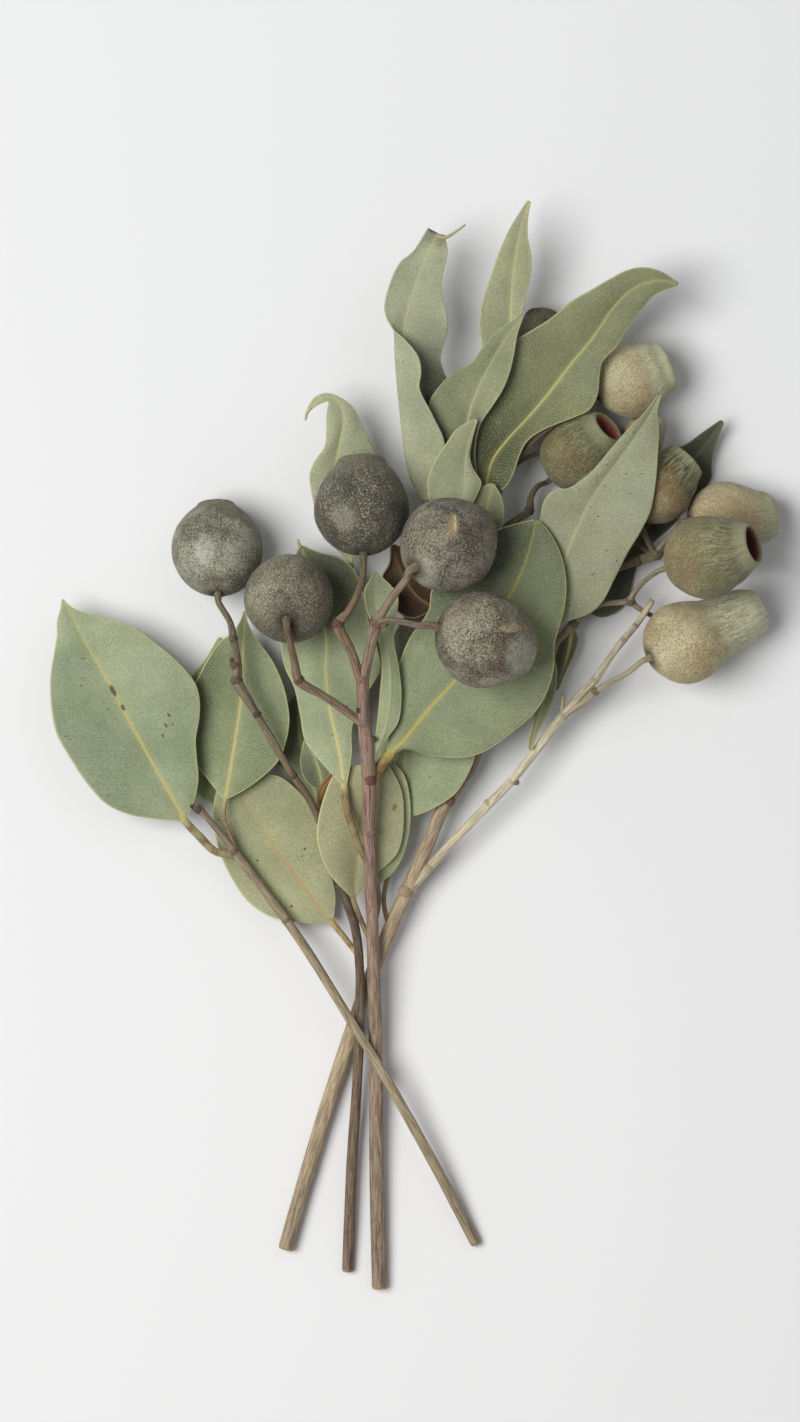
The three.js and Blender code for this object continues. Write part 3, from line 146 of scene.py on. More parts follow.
# A limb runs through (x, y, z, radius) points, and its tints are spaced evenly along it. One that names a pod
# carries it.
BRANCHES = {
    "branch_left_leafy": [
        {
            "tints": ["9a8a70", "ab9b7e", "a69678", "8c7e6a"],
            "run": [
                (22, -180, 2.1, 2), (8, -153, 7, 1.9), (-8, -124, 11, 1.8), (-14.4, -113, 12.2, 1.7),
                (-20, -104, 12.9, 1.7), (-28, -91, 12.9, 1.7), (-38, -75, 12.7, 1.7),
                (-46.5, -62.5, 12.5, 1.7), (-55, -51, 12.3, 1.6), (-60, -44.5, 12.5, 1.6),
                (-65.3, -37.5, 13, 1.7), (-71, -30, 14, 1.25), (-76.6, -23.6, 15, 1.2),
                (-78, -22, 15.2, 1.6), (-80, -21.2, 15.4, 1.1),
            ],
        },
    ],
    "branch_left_pods": [
        {
            # The fourth tint is painted shade, where the limb runs through a dark gap.
            "tints": ["7f6d5b", "7f6c59", "77624f", "5a4b3d", "7d6e54", "7f7664"],
            "run": [
                (-24.5, -190, 2, 2.1), (-23, -150, 4.6, 2), (-21, -120, 7, 1.9), (-20.2, -96, 9.8, 1.8),
                (-20.1, -80, 11.2, 1.7), (-22, -64, 12.3, 1.65), (-27, -50, 13.4, 1.6),
                (-32, -33, 16.4, 1.45), (-38, -19, 20, 1.35), (-44, -10, 22, 1.3), (-50, 0, 23.5, 1.35),
                (-58, 13.5, 24.6, 1.45), (-64.2, 23.4, 25, 2.1),
            ],
        },
        {
            "pod": "pod_left", "tints": ["7c7058", "7c745f"],
            "run": [
                (-64.2, 23.4, 25, 1.9), (-64, 29, 25, 1.8), (-64.3, 34, 24.8, 1.15),
                (-65.4, 38.9, 24.3, 1.5), (-66.6, 45, 23.4, 1.1),
            ],
        },
        {
            "tints": ["6a5a48", "6a5a48"],
            "run": [
                (-29, -43, 14.6, 1.2), (-32.8, -28, 11.5, 1.2), (-34, -10, 8, 1.2), (-33, 15, 7, 1.1),
                (-31, 35, 6.5, 1.1), (-27, 52, 7.5, 1), (-23.6, 62.5, 10.8, 1),
            ],
        },
    ],
    "branch_main": [
        {
            "tints": ["917e6a", "9d8974", "9c8071", "96796a"],
            "run": [
                (-13, -196.2, 2.5, 2.8), (-14, -150, 4.7, 2.7), (-14.3, -112, 7.7, 2.5),
                (-14.6, -96, 9.4, 2.4), (-15, -82, 11.3, 2.4), (-15.5, -65, 15.2, 2.2),
                (-16.1, -50, 18.4, 2.2), (-16.7, -30, 24.4, 2.3), (-16.6, -12, 29.4, 2.7),
                (-17.8, 2, 32, 2.5), (-18.7, 14, 35, 2.2), (-19, 25, 37, 2.3),
            ],
        },
        {
            "pod": "pod_upper_left", "tints": ["8a705a", "8a7358", "645a48"],
            "run": [
                (-19, 22, 36.6, 1.8), (-23, 34.5, 38.6, 1.65), (-27.6, 44, 40, 2.1),
                (-24.6, 48, 40.8, 1.35), (-21.6, 53, 41, 1.25), (-19, 61, 41, 1.2),
            ],
        },
        {
            "pod": "pod_upper_middle", "tints": ["937c68", "96836c", "94856e"],
            "run": [
                (-19, 22, 36.6, 2), (-16.8, 33, 38.8, 1.8), (-14, 44.4, 41, 2.2), (-11.4, 49, 45, 1.5),
                (-7.6, 54.6, 50, 1.4), (-3, 60.4, 54.8, 1.4),
            ],
        },
        {
            "pod": "pod_centre", "tints": ["857462", "7f705e"],
            "run": [
                (-14, 44.4, 41, 1.8), (-9.6, 45.4, 44.4, 1.2), (-4, 44.7, 47.6, 1.1),
                (1.5, 43.5, 50.4, 1.2),
            ],
        },
        {
            "pod": "pod_left_inner", "tints": ["917a65", "7c6a54"],
            "run": [
                (-18.4, 8, 33.4, 1.5), (-27, 14.6, 35.6, 1.45), (-34, 19.2, 37.6, 1.4),
                (-41.6, 24, 39, 1.9), (-43.2, 31, 41.6, 1.35), (-44.8, 38, 45.4, 1.3),
            ],
        },
    ],
    "branch_right": [
        {
            "tints": ["a08e76", "b5a284", "baa488", "94806a", "7a6858"],
            "run": [
                (-47, -182, 2.7, 2.9), (-38, -150, 3.2, 2.8), (-28, -118, 4, 2.7), (-18, -88, 5.3, 2.6),
                (-7.6, -62, 8.4, 2.6), (0, -45, 9.6, 2.6), (5.2, -33, 10.3, 2.5), (9.6, -22.6, 11, 2.4),
                (14, -15.4, 11.5, 2.4), (20, -6.5, 12, 2.3), (25, 12, 13.6, 2.3), (29, 31, 15.3, 2.3),
                (30, 55, 17, 2.2), (28.4, 72, 18.5, 2.1), (27, 86, 20, 2.3),
            ],
        },
        {
            "tints": ["cebe9f", "ddd2b4", "d4c9ac", "c2b89d"],
            "run": [
                (-4.4, -54, 9.2, 1.9), (4.3, -44.1, 10, 1.75), (14.2, -33.3, 11, 1.6),
                (26.4, -20.6, 12, 1.7), (34.5, -12.2, 12.5, 1.65), (43, -1.8, 13.2, 1.55),
                (53.2, 11.4, 14, 1.75), (59.2, 18.6, 14.3, 1.4), (64.6, 24.2, 14.6, 1.45),
                (70, 32.2, 14.6, 1.2), (75, 38.8, 14.6, 1.3), (79.4, 44, 14.7, 1.15),
                (82.6, 48.6, 15, 1.15), (85.4, 53.2, 15.5, 1.1),
            ],
        },
        {
            "tints": ["b8ad8e", "b8ad8e"],
            "run": [(53, 11.6, 14, 1), (53, 15, 14.4, 0.8), (53.4, 18.6, 14.8, 0.75)],
        },
        {
            "pod": "pod_right_lower", "tints": ["b8ad8e", "a69f83"],
            "run": [
                (53.4, 11.4, 14, 1.3), (60, 15.8, 15.2, 1.15), (65, 20.2, 16.6, 1.35), (70, 23.4, 18.6, 1),
                (76, 26.7, 21.2, 1),
            ],
        },
        {
            "tints": ["94866c", "9c9076"],
            "run": [
                (29, 30, 15.3, 1.7), (40, 33.4, 15, 1.4), (50, 37.7, 14.5, 1.3), (57, 44.5, 14, 1.6),
                (66, 51.3, 13.5, 1.1), (75, 52.4, 13.5, 1.05), (77.5, 52.9, 13.5, 1.4), (79.4, 51, 12.8, 1),
                (82.6, 49, 11.9, 0.9), (86, 47.3, 9.6, 0.9), (90, 45.8, 6.4, 0.9), (94.6, 44.2, 3.5, 0.8),
            ],
        },
        {
            "pod": "pod_right_middle", "tints": ["968e76", "968e76"],
            "run": [(77.2, 52.8, 13.5, 1.3), (79, 56, 17.6, 1), (82.4, 60, 23.4, 1)],
        },
        {
            "tints": ["8c7e68", "7a7059"],
            "run": [
                (57, 44.5, 14, 1.4), (60, 50.6, 13, 1.2), (66, 59.4, 11.6, 1.2), (73, 64.6, 11.5, 1.3),
                (80, 67.3, 12, 1.7), (87, 69.8, 13, 2.2),
            ],
        },
        {
            "pod": "pod_right_upper", "tints": ["857e66", "857e66"],
            "run": [(86.4, 69.6, 13, 1.5), (90.4, 74.6, 15.6, 1.2), (94, 78.6, 17.2, 1.1)],
        },
        {
            "pod": "pod_right_inner", "tints": ["6f6752", "6f6752"],
            "run": [(86.4, 69.6, 13, 1.4), (83.2, 75.4, 15.6, 1.1), (80.8, 80, 17.8, 1.1)],
        },
        {
            "pod": "pod_right_small", "tints": ["6f6752", "6f6752"],
            "run": [(86, 69.4, 12.6, 1.2), (79, 75.4, 7, 1), (73.6, 87, 4.6, 0.9), (73.8, 98, 5, 0.9)],
        },
        {
            "pod": "pod_top_inner", "tints": ["756a55", "6e6450"],
            "run": [
                (29.2, 66, 18, 1.4), (31.6, 78, 16.6, 1.4), (37, 82.6, 14.6, 1.3), (41, 85.4, 12.8, 1.6),
                (41.6, 90, 11.2, 1.1), (44, 94.2, 9.6, 1),
            ],
        },
        {
            "pod": "pod_top_right", "tints": ["70654f", "6a604c"],
            "run": [
                (27.2, 84, 19.8, 1.5), (32.6, 98.4, 19.6, 1.2), (38, 105.4, 20, 1.1), (43, 111, 21.2, 1.1),
                (49, 115.8, 22, 1.1), (54, 119.6, 21.8, 1), (60, 123.4, 18.6, 1),
            ],
        },
        {
            "pod": "pod_top_hidden", "tints": ["54493c", "54493c"],
            "run": [(27.2, 84, 19.8, 1.2), (31, 98, 15.6, 1), (37, 114, 12.6, 0.9), (42, 127, 13.6, 0.9)],
        },
        {
            "tints": ["5c5244", "5c5244"],
            "run": [(33, 99.4, 19.4, 1), (38, 103.4, 15.6, 0.9), (44.2, 106.2, 12.8, 0.8)],
        },
    ],
}
# A leaf's midrib and its two edges run from the stalk to the tip, and each half bows up by the cup. The
# stalk, and the thread at some tips, are (x, y, z, radius) points. A left half may turn over at a fold.
LEAVES = {
    "leaf_left_large": {
        "cup": 0.8,
        "mid": [
            (-83.3, -26.2, 14), (-88, -17.5, 15), (-94, -7, 15.5), (-99.5, 3, 16), (-105, 13, 16),
            (-112, 26, 15.5), (-119, 38, 15), (-127.2, 53.4, 13.6),
        ],
        "left": [
            (-84.5, -26.5, 14), (-93, -25.6, 15), (-103, -24, 16.5), (-111, -20.4, 18), (-118, -13, 19),
            (-124, -4, 19), (-129, 5, 18.5), (-130.9, 14, 18), (-131.3, 25, 17), (-129.8, 35, 15.5),
            (-129, 40.5, 14.6), (-129.1, 45.4, 14), (-128, 49.6, 13.7), (-127.5, 53, 13.6),
        ],
        "right": [
            (-82.3, -25.6, 14), (-80, -20, 16), (-78.3, -12, 17.5), (-78.8, -4, 18), (-79.2, 3, 18),
            (-78, 10, 18), (-77.8, 17, 18), (-79.3, 22.8, 18), (-84, 29, 18), (-90.5, 35, 18),
            (-97, 40, 17.5), (-103, 43.8, 17), (-110, 46, 16.5), (-117.4, 48, 15.6), (-123.6, 50.4, 14.6),
            (-126.9, 53.2, 13.6),
        ],
        "stalk": [
            (-83.3, -26.2, 14, 1.3), (-78, -32, 13.6, 1.2), (-72, -37.6, 13.2, 1.1),
            (-64.6, -38.4, 13, 1.1),
        ],
    },
    "leaf_left_pointed": {
        "cup": 0.7,
        "mid": [
            (-68.6, -19, 13.4), (-66.8, -8, 12), (-64.8, 4, 11.5), (-63.2, 15, 12), (-62.5, 28, 13),
            (-62, 40, 14), (-61.5, 49.3, 14.5),
        ],
        "left": [
            (-69.4, -18.4, 13), (-74, -12.5, 11.5), (-79, -6, 10.5), (-82.5, 3, 10), (-83, 13, 10.5),
            (-79.6, 22.5, 11.5), (-75.5, 30.5, 12.5), (-71, 37.5, 13.5), (-66.5, 41.2, 14),
            (-63.4, 45, 14.3), (-61.9, 49, 14.5),
        ],
        "right": [
            (-67.6, -18.4, 13.4), (-62, -15.4, 14), (-54.5, -10, 15), (-49, -4, 16), (-46.5, 3, 17),
            (-45.5, 10, 17), (-46, 15, 17), (-47.6, 22, 16.6), (-51.5, 31, 15.8), (-56, 37.3, 15),
            (-58.6, 41.2, 14.6), (-60.6, 45.5, 14.5), (-61.1, 49, 14.5),
        ],
        "stalk": [
            (-68.6, -19, 13.4, 1), (-69, -24.6, 13.6, 0.75), (-67.4, -30, 13.6, 0.7),
            (-63.4, -40, 12.9, 0.7),
        ],
    },
    "leaf_left_back": {
        "cup": 0.4,
        "mid": [(-68.4, -22.5, 3.4), (-73, -8, 3.4), (-76, 8, 4), (-75, 25, 5.5), (-70.6, 39.8, 7.5)],
        "left": [
            (-69.6, -22.4, 3.2), (-78.5, -17, 2.6), (-84, -6, 2.6), (-86, 8, 3), (-83.6, 19.6, 4.4),
            (-81, 25.5, 5.2), (-76, 31.8, 6.2), (-71.3, 39.6, 7.4),
        ],
        "right": [(-67.2, -22, 3.2), (-63, -6, 3.2), (-62, 10, 4.2), (-65, 27, 5.6), (-69.9, 39.6, 7.4)],
        "stalk": [
            (-68.4, -22.5, 3.4, 1.1), (-60, -40, 2.6, 1), (-51, -57, 3, 1), (-44.6, -66, 7.6, 1),
            (-40, -72, 12.2, 1),
        ],
    },
    "leaf_low_left": {
        "cup": 0.8,
        "mid": [
            (-30.4, -63, 8.6), (-34, -59, 8.2), (-42, -48, 8), (-50, -37, 8), (-57, -27, 8),
            (-62, -18, 8.5), (-66, -8.4, 9),
        ],
        "left": [
            (-31.4, -63.3, 8.4), (-40, -63.4, 8), (-48, -62.4, 7.5), (-55, -59.8, 7), (-61, -55, 7),
            (-67, -46, 7), (-70.5, -38, 7), (-72.3, -30, 7.5), (-72.9, -24, 8), (-71.4, -15, 8.6),
            (-66.8, -8.6, 9),
        ],
        "right": [
            (-29.7, -62, 8.8), (-29, -54, 9), (-30.6, -46, 9), (-33.2, -36, 9), (-35.4, -27, 9.2),
            (-38.2, -21, 9.6), (-44, -14.4, 10), (-49, -10.8, 10), (-54, -9.6, 9.8), (-60, -8, 9.4),
            (-65.4, -7.8, 9),
        ],
        "stalk": [(-30.4, -63, 8.6, 1.3), (-27, -67, 9.6, 1.1), (-23, -72, 11.4, 1), (-21, -74.6, 11.8, 1)],
    },
    "leaf_low_middle": {
        "cup": 0.6,
        "mid": [
            (-22.6, -54, 14.2), (-21.8, -45, 15.5), (-21, -34, 17.5), (-19, -22, 19.5), (-15, -12, 21),
            (-10.5, -5.9, 21.5),
        ],
        "left": [
            (-23.6, -53.6, 14.6), (-26, -51, 16.8), (-29.4, -47.4, 18.6), (-33, -41, 20.4),
            (-35.2, -33, 21.4), (-34.8, -26, 22), (-32.5, -17, 22.2), (-29, -9.8, 22.2), (-20, -6.2, 21.6),
            (-11.4, -5.2, 21.5),
        ],
        "right": [
            (-21.6, -54, 14), (-18.6, -51.4, 14.4), (-14.5, -45.7, 15.4), (-10, -42, 16.4), (-6.6, -38, 17),
            (-4.7, -31, 18), (-4.3, -24, 18.5), (-4.8, -17, 19.2), (-6.6, -11.6, 20.2), (-9.6, -6.8, 21.3),
        ],
        "stalk": [
            (-22.6, -54, 14.2, 1.1), (-20.6, -60, 13.8, 1), (-18, -66, 13.6, 0.95), (-15.4, -70.6, 14, 0.9),
        ],
    },
    "leaf_low_middle_back": {
        "cup": 0.5,
        "mid": [
            (-13.8, -49, 12.2), (-13.8, -38, 13.6), (-13, -25, 15.2), (-11, -12, 16.3), (-8.6, -4.8, 17),
        ],
        "left": [
            (-14.8, -48.6, 12.2), (-18, -45, 12.6), (-22, -37, 13.4), (-24, -26, 14.8), (-20, -14, 16),
            (-13, -7, 16.8), (-9.4, -4.6, 17),
        ],
        "right": [
            (-12.8, -48.8, 12.2), (-8.4, -45.4, 12.8), (-5.4, -41, 13.4), (-2.8, -33, 14.5),
            (-1.9, -25, 15.4), (-2.4, -17, 16), (-4, -10.6, 16.5), (-7.7, -5.2, 17),
        ],
        "stalk": [(-13.8, -49, 12.2, 1.1), (-13.2, -55, 12.2, 0.9), (-14.6, -63.6, 14.2, 0.9)],
    },
    "leaf_middle_long": {
        "cup": 0.7,
        "mid": [
            (-25.6, -14, 24.2), (-26.6, -6, 23.7), (-28, 2, 22.7), (-31, 15, 20.2), (-32.3, 28, 17.6),
            (-32, 38, 15.6), (-34, 49, 13.6), (-37, 60, 12.6), (-41.2, 72.4, 13.5),
        ],
        "left": [
            (-26.5, -13.2, 24), (-33, -6, 22.2), (-39.5, 2.5, 19.2), (-41.5, 12, 17), (-43.5, 21.5, 15),
            (-47, 29, 13), (-48.5, 38, 11), (-49, 50, 9.6), (-46.5, 62, 10.6), (-41.9, 72.4, 13.4),
        ],
        "right": [
            (-24.7, -13.2, 24.2), (-22.9, -2, 24), (-23, 6, 23.4), (-21.5, 12, 23), (-16, 22, 22.4),
            (-12.6, 28, 22.2), (-14, 36, 21.4), (-17, 46, 20.2), (-18.8, 55, 18.6), (-22.5, 64.5, 16.2),
            (-28, 68.6, 14.8), (-35, 70.4, 13.9), (-40.6, 72.8, 13.5),
        ],
        "stalk": [
            (-25.6, -14, 24.2, 1.5), (-24.6, -22, 24.5, 1.4), (-22.2, -30, 24.6, 1.3),
            (-19.6, -37, 23.8, 1.1), (-16.8, -42, 21, 1.1),
        ],
        "tail": [(-41.2, 72, 13.5, 0.7), (-42.1, 73.6, 13.9, 0.55), (-42.4, 75, 14.4, 0.4)],
    },
    "leaf_middle_narrow": {
        "cup": 0.4,
        "mid": [
            (-14.2, -1.4, 30.6), (-11, 6, 30.6), (-9, 18, 31), (-9.3, 30, 31), (-12, 42, 31),
            (-14.6, 52, 31), (-14.3, 63, 31),
        ],
        "left": [
            (-14.9, -0.6, 30.7), (-14.4, 4, 31), (-13.4, 11, 31.5), (-12.6, 20, 31.8), (-12, 30, 31.8),
            (-13.5, 40, 32.2), (-17, 48, 32.2), (-18.2, 56.5, 31.8), (-16.4, 60, 31.4), (-14.9, 62.6, 31),
        ],
        "right": [
            (-13.5, -0.9, 30.4), (-10, 4, 29.6), (-6.5, 9, 29.2), (-5.3, 18, 29), (-6, 28, 29),
            (-7.8, 38, 29.5), (-7.5, 45, 30), (-6.3, 51, 30), (-6.6, 55, 30), (-9, 58.2, 30.5),
            (-13.6, 62.4, 31),
        ],
        "stalk": [(-14.2, -1.4, 30.6, 0.9), (-15, -4.6, 31, 0.9), (-17.2, -8, 30.6, 0.9)],
    },
    "leaf_centre_broad": {
        "cup": 1.2,
        "mid": [
            (-10, -3.2, 27.4), (-4, 3, 26.7), (4, 13, 26), (14, 24, 26), (24, 38, 26), (33, 53, 26.5),
            (38, 63, 27), (41, 72, 27.5), (43, 81.3, 28.4),
        ],
        "left": [
            (-10.4, -2.4, 27.2), (-9.6, 3, 26), (-8.6, 10, 25), (-7.8, 19, 24.6), (-6.2, 28, 24.6),
            (-4, 35, 25), (-1, 41, 25), (3, 46, 25.5), (5, 50, 26), (5.8, 56, 26.5), (10, 64, 27),
            (19, 72, 28), (27, 77, 28.4), (34, 79.6, 28.4), (42.3, 81.7, 28.4),
        ],
        "right": [
            (-9.2, -2.8, 27.2), (-4, -0.4, 26.2), (4, -2.5, 25), (12, -3.6, 24.5), (20, -3, 24),
            (27, 0, 24), (35, 6, 24), (41, 11, 24.5), (45, 16, 25), (48.5, 24, 26), (49.7, 31, 27),
            (49.6, 36, 27.4), (51, 42, 27.4), (53, 49, 27), (54, 57, 27), (53.2, 65, 27.4), (51, 72, 28),
            (47, 78.4, 28.2), (43.7, 81.3, 28.4),
        ],
        "stalk": [(-10, -3.2, 27.4, 1.8), (-12.6, -6.6, 28.2, 1.6), (-16.4, -12, 29, 1.4)],
    },
    "leaf_centre_back": {
        "cup": 0.6,
        "mid": [
            (-5, -24.6, 12.4), (-4.4, -12, 13), (-3.2, 0, 14), (-1, 15, 15), (3, 34, 16), (8.4, 55, 17),
        ],
        "left": [
            (-6, -24.2, 12.2), (-10, -21, 12), (-12.4, -12, 12.4), (-13, 2, 13.4), (-13, 18, 14.4),
            (-10.6, 33, 15.6), (-5.4, 45, 16.6), (1.6, 52.4, 17), (7.6, 55.4, 17),
        ],
        "right": [
            (-4, -24.7, 12.6), (0, -24.4, 13.6), (4, -23, 14.6), (8, -21, 15.3), (14, -16.8, 16),
            (18, -11, 16.3), (21.3, -3, 16.6), (22, 8, 17.6), (21, 25, 18.6), (17, 40, 18.2),
            (9.4, 54.4, 17),
        ],
        "stalk": [
            (-5, -24.6, 12.4, 1), (-7.6, -36, 11.2, 0.9), (-10.2, -47, 10.4, 0.8), (-11.4, -56, 9.8, 0.8),
            (-9.4, -65.6, 8.2, 0.8),
        ],
    },
    "leaf_brown_curled": {
        "cup": -0.8, "skin": "leaf_brown",
        "mid": [(7, 50, 20.6), (0, 55, 21.6), (-5, 63, 22), (-8.2, 72.8, 23)],
        "left": [
            (6, 49.2, 20.4), (-1, 46.4, 20.6), (-6, 48.6, 21.4), (-10, 54.6, 22.4), (-12.2, 61.2, 23.4),
            (-9.6, 66, 23.8), (-8.8, 72.2, 23.2),
        ],
        "right": [(7.8, 50.8, 20.4), (6.6, 60, 20.6), (1, 69, 21.4), (-7.5, 73, 22.9)],
        "stalk": [(7, 50, 20.6, 1), (17, 53.6, 19, 1), (30, 54, 17, 1)],
    },
    "leaf_right_tall": {
        "cup": 0.9,
        "mid": [
            (48, 41, 20), (50.5, 55, 21.5), (54.5, 70, 24.5), (60, 83, 28), (66, 94, 30.5),
            (72.5, 103, 31.5), (79, 112, 31), (84, 120, 29.5), (87.5, 126.8, 28),
        ],
        "left": [
            (47.2, 41.6, 20), (44.6, 55, 19.8), (43.2, 70, 21.2), (44.8, 82, 24.8), (46.5, 89, 28),
            (50, 92.3, 29.6), (55, 93, 31), (60, 96.3, 32), (64, 99.8, 32.4), (70, 107, 32.6),
            (76, 113.8, 32), (82, 120, 30.2), (86.7, 126, 28.4),
        ],
        "right": [
            (49, 41.2, 20), (54, 45.2, 20), (62, 48.2, 20), (67, 52.5, 21), (71, 60, 22.5), (76, 70, 24.5),
            (80.5, 77.5, 27), (84, 85, 30), (85.8, 95, 32), (86.6, 105, 32), (87, 113, 31),
            (86.5, 120, 29.8), (87.9, 126.2, 28.2),
        ],
        "stalk": [(48, 41, 20, 1.3), (45.6, 37.8, 17.6, 1.2), (42.6, 34.4, 15, 1.1)],
    },
    "leaf_right_back": {
        "cup": 0.4,
        "mid": [
            (60, 50.4, 7), (66, 58, 3.6), (78, 72, 1.6), (90, 88, 1.4), (100, 103, 2.6), (106, 111, 5),
            (111, 118, 8),
        ],
        "left": [
            (59, 51, 6.6), (60, 62, 3.4), (70, 80, 1.4), (82, 97, 1.4), (92, 107, 2.8), (98, 109.6, 4.4),
            (104.5, 114.2, 6.6), (110.2, 118.2, 8),
        ],
        "right": [
            (61, 49.8, 6.6), (67, 47.2, 4.4), (73, 49.3, 3), (77, 54, 2.2), (79, 62, 1.6), (82, 69.5, 1.4),
            (88, 76, 1.3), (94, 81.5, 1.3), (98.5, 88, 1.3), (103, 92.5, 1.6), (107, 97.2, 2.6),
            (107.2, 103, 4.2), (108.7, 110, 6.4), (111.4, 117.2, 8),
        ],
        "stalk": [(60, 50.4, 7, 1.1), (58.8, 48, 9.6, 1), (57.6, 45.6, 13.4, 1)],
    },
    "leaf_right_hanging": {
        "cup": 0.4, "mid": [(56.4, 42.4, 10.9), (55.4, 35.6, 9.4), (53.4, 28, 9), (50.8, 20.4, 9.6)],
        "left": [(57.3, 42.4, 10.9), (58.6, 39.6, 9.8), (57.4, 34, 9.2), (54.6, 28, 9), (51.5, 21, 9.6)],
        "right": [(55.5, 42.2, 10.9), (52, 37, 9.4), (50, 29.6, 9.2), (50, 21.4, 9.6)],
        "stalk": [(56.4, 42.4, 10.9, 0.9), (56.4, 43.6, 12, 0.9), (56.8, 44.4, 13.6, 0.9)],
    },
    "leaf_right_twisted": {
        "cup": 0.3,
        "mid": [
            (48.6, 34, 14.6), (47.6, 24, 15.2), (45.6, 15, 16), (43.3, 8, 16.4), (42, 3, 16.3),
            (41.3, -1, 16.2),
        ],
        "left": [
            (49.4, 33.8, 14.6), (50.8, 28, 14.6), (50.3, 20, 15), (48.5, 13.5, 15.6), (45.5, 8, 16),
            (43.2, 3.5, 16.2), (41.9, -0.8, 16.2),
        ],
        "right": [
            (47.8, 33.8, 14.6), (45, 25, 15.4), (43.6, 16, 16.4), (42.3, 9, 17.2), (40.9, 3, 16.8),
            (40.7, -0.6, 16.3),
        ],
        "stalk": [(48.6, 34, 14.6, 0.9), (48.8, 35.6, 14.6, 0.9), (49, 37.4, 14.5, 0.8)],
    },
    "leaf_top_folded": {
        "cup": 0.5,
        "mid": [
            (4, 88, 22), (1, 100, 22), (-2, 118, 22.4), (-3.8, 135, 23), (-4.2, 150, 24.5), (-2, 160, 25.4),
            (1.5, 170, 26), (5, 178.5, 26), (7.8, 184.4, 26),
        ],
        "fold": [
            (1.6, 89, 23.4), (-2.6, 99, 24.4), (-5, 115, 25.8), (-6.5, 130, 26.8), (-7.5, 146, 26.8),
            (-7, 157, 26.4), (-4.3, 167, 26.8), (0.2, 177, 26.4), (6, 184.8, 26),
        ],
        "left": [
            (4.4, 88.6, 25), (8.6, 100, 27), (10.3, 109, 28.4), (6, 119, 29.6), (1.3, 129, 30.4),
            (2, 134, 30.4), (1, 140, 30), (-4, 146.5, 28.8), (-8, 150, 27.8), (-11, 157, 27.4),
            (-9.3, 166, 27.8), (-5.5, 174, 27.4), (-1, 177.8, 27), (4.6, 186.4, 26),
        ],
        "right": [
            (5.2, 87.6, 21), (10, 100, 18.8), (13, 115, 18), (13, 128, 19), (9.8, 136, 20), (8.8, 140, 21),
            (11.5, 152, 23), (9, 166, 24.5), (11.3, 178, 25), (10.4, 184, 25.7),
        ],
        "stalk": [(4, 88, 22, 1.1), (11, 83, 20.4, 1.1), (19, 78.6, 19.2, 1.1), (28, 76, 18.8, 1.1)],
        "tail": [
            (7.6, 183.8, 26, 0.8), (10.2, 182.9, 26.4, 0.7), (13.4, 184.4, 26.6, 0.5),
            (17.8, 187.6, 26.2, 0.35),
        ],
    },
    "leaf_top_narrow": {
        "cup": 0.5,
        "mid": [
            (27.6, 98, 17), (30, 115, 16.4), (32, 135, 17.5), (34.2, 154, 20), (34.6, 165, 21.8),
            (36, 178, 23.6), (38.2, 188, 25), (40.6, 196.2, 26),
        ],
        "left": [
            (26.9, 98.6, 17), (24.6, 120, 16.8), (24, 135, 17.4), (24.2, 144, 18.8), (23, 152, 20.4),
            (23.7, 158, 21.4), (25.6, 165, 22.4), (28, 172, 23.2), (31, 180, 24.2), (34, 186.4, 25),
            (39.9, 196, 26),
        ],
        "right": [
            (28.4, 98.6, 17), (32.4, 118, 16.4), (34.4, 135, 18), (36, 146, 20), (38.2, 156, 21),
            (40, 165, 22), (41.4, 172, 23), (41.3, 177, 23.6), (40.1, 184, 24.6), (40.2, 190, 25.4),
            (41.2, 195.8, 26),
        ],
        "stalk": [(27.6, 98, 17, 1.1), (28.6, 92, 16.4, 1.1), (27.6, 85, 17.4, 1.1)],
    },
    "leaf_top_middle": {
        "cup": 0.6,
        "mid": [
            (21, 97, 22.2), (18, 108, 23.4), (20, 122, 25.2), (26, 136, 27), (32, 146.5, 28),
            (38, 155.2, 29),
        ],
        "left": [
            (20.2, 97.1, 22.2), (12.4, 106, 23), (7.2, 116, 24), (4.8, 123, 24.8), (8.5, 129.5, 25.5),
            (12.5, 133.5, 26), (16.5, 136, 26.6), (20.4, 138, 27), (23, 142, 27.6), (27, 147, 28),
            (31, 150.6, 28.6), (37.2, 154.8, 29),
        ],
        "right": [
            (22, 97.4, 22.6), (21.4, 107, 25.2), (23.2, 116, 27.5), (27.5, 122.5, 28.8), (31, 128, 29.4),
            (33.5, 134, 29.4), (35.2, 141, 29.4), (36.4, 148, 29.2), (38.5, 154.4, 29),
        ],
        "stalk": [(21, 97, 22.2, 1.1), (20.4, 90, 20.2, 1.1), (24.8, 83, 19.4, 1.1)],
    },
    "leaf_top_small": {
        "cup": 0.5,
        "mid": [(15, 82, 28.4), (17.3, 92, 28.8), (18, 102, 29.4), (19.5, 111, 30.4), (21.6, 118, 31)],
        "left": [
            (14, 82.2, 28.6), (9, 84.4, 29.6), (5, 89, 31), (4.4, 95, 31.6), (5.8, 100, 32),
            (8, 104.5, 32.4), (11, 108.7, 32.8), (14.5, 113.7, 32.6), (20.9, 117.8, 31.2),
        ],
        "right": [
            (16, 82.2, 28.4), (20, 87, 28.8), (22.6, 92, 29), (23.6, 95.2, 29), (20.7, 99.6, 28.8),
            (19.3, 104, 29), (19.9, 109, 29.8), (22, 117.4, 31),
        ],
        "stalk": [(15, 82, 28.4, 1), (19, 76, 26, 1), (28.6, 69, 18.8, 1)],
    },
    "leaf_top_long": {
        "cup": 1,
        "mid": [
            (25.2, 92.4, 21.4), (27.5, 103, 20.2), (33, 110.5, 20), (40, 118, 20.5), (48, 127.5, 21.5),
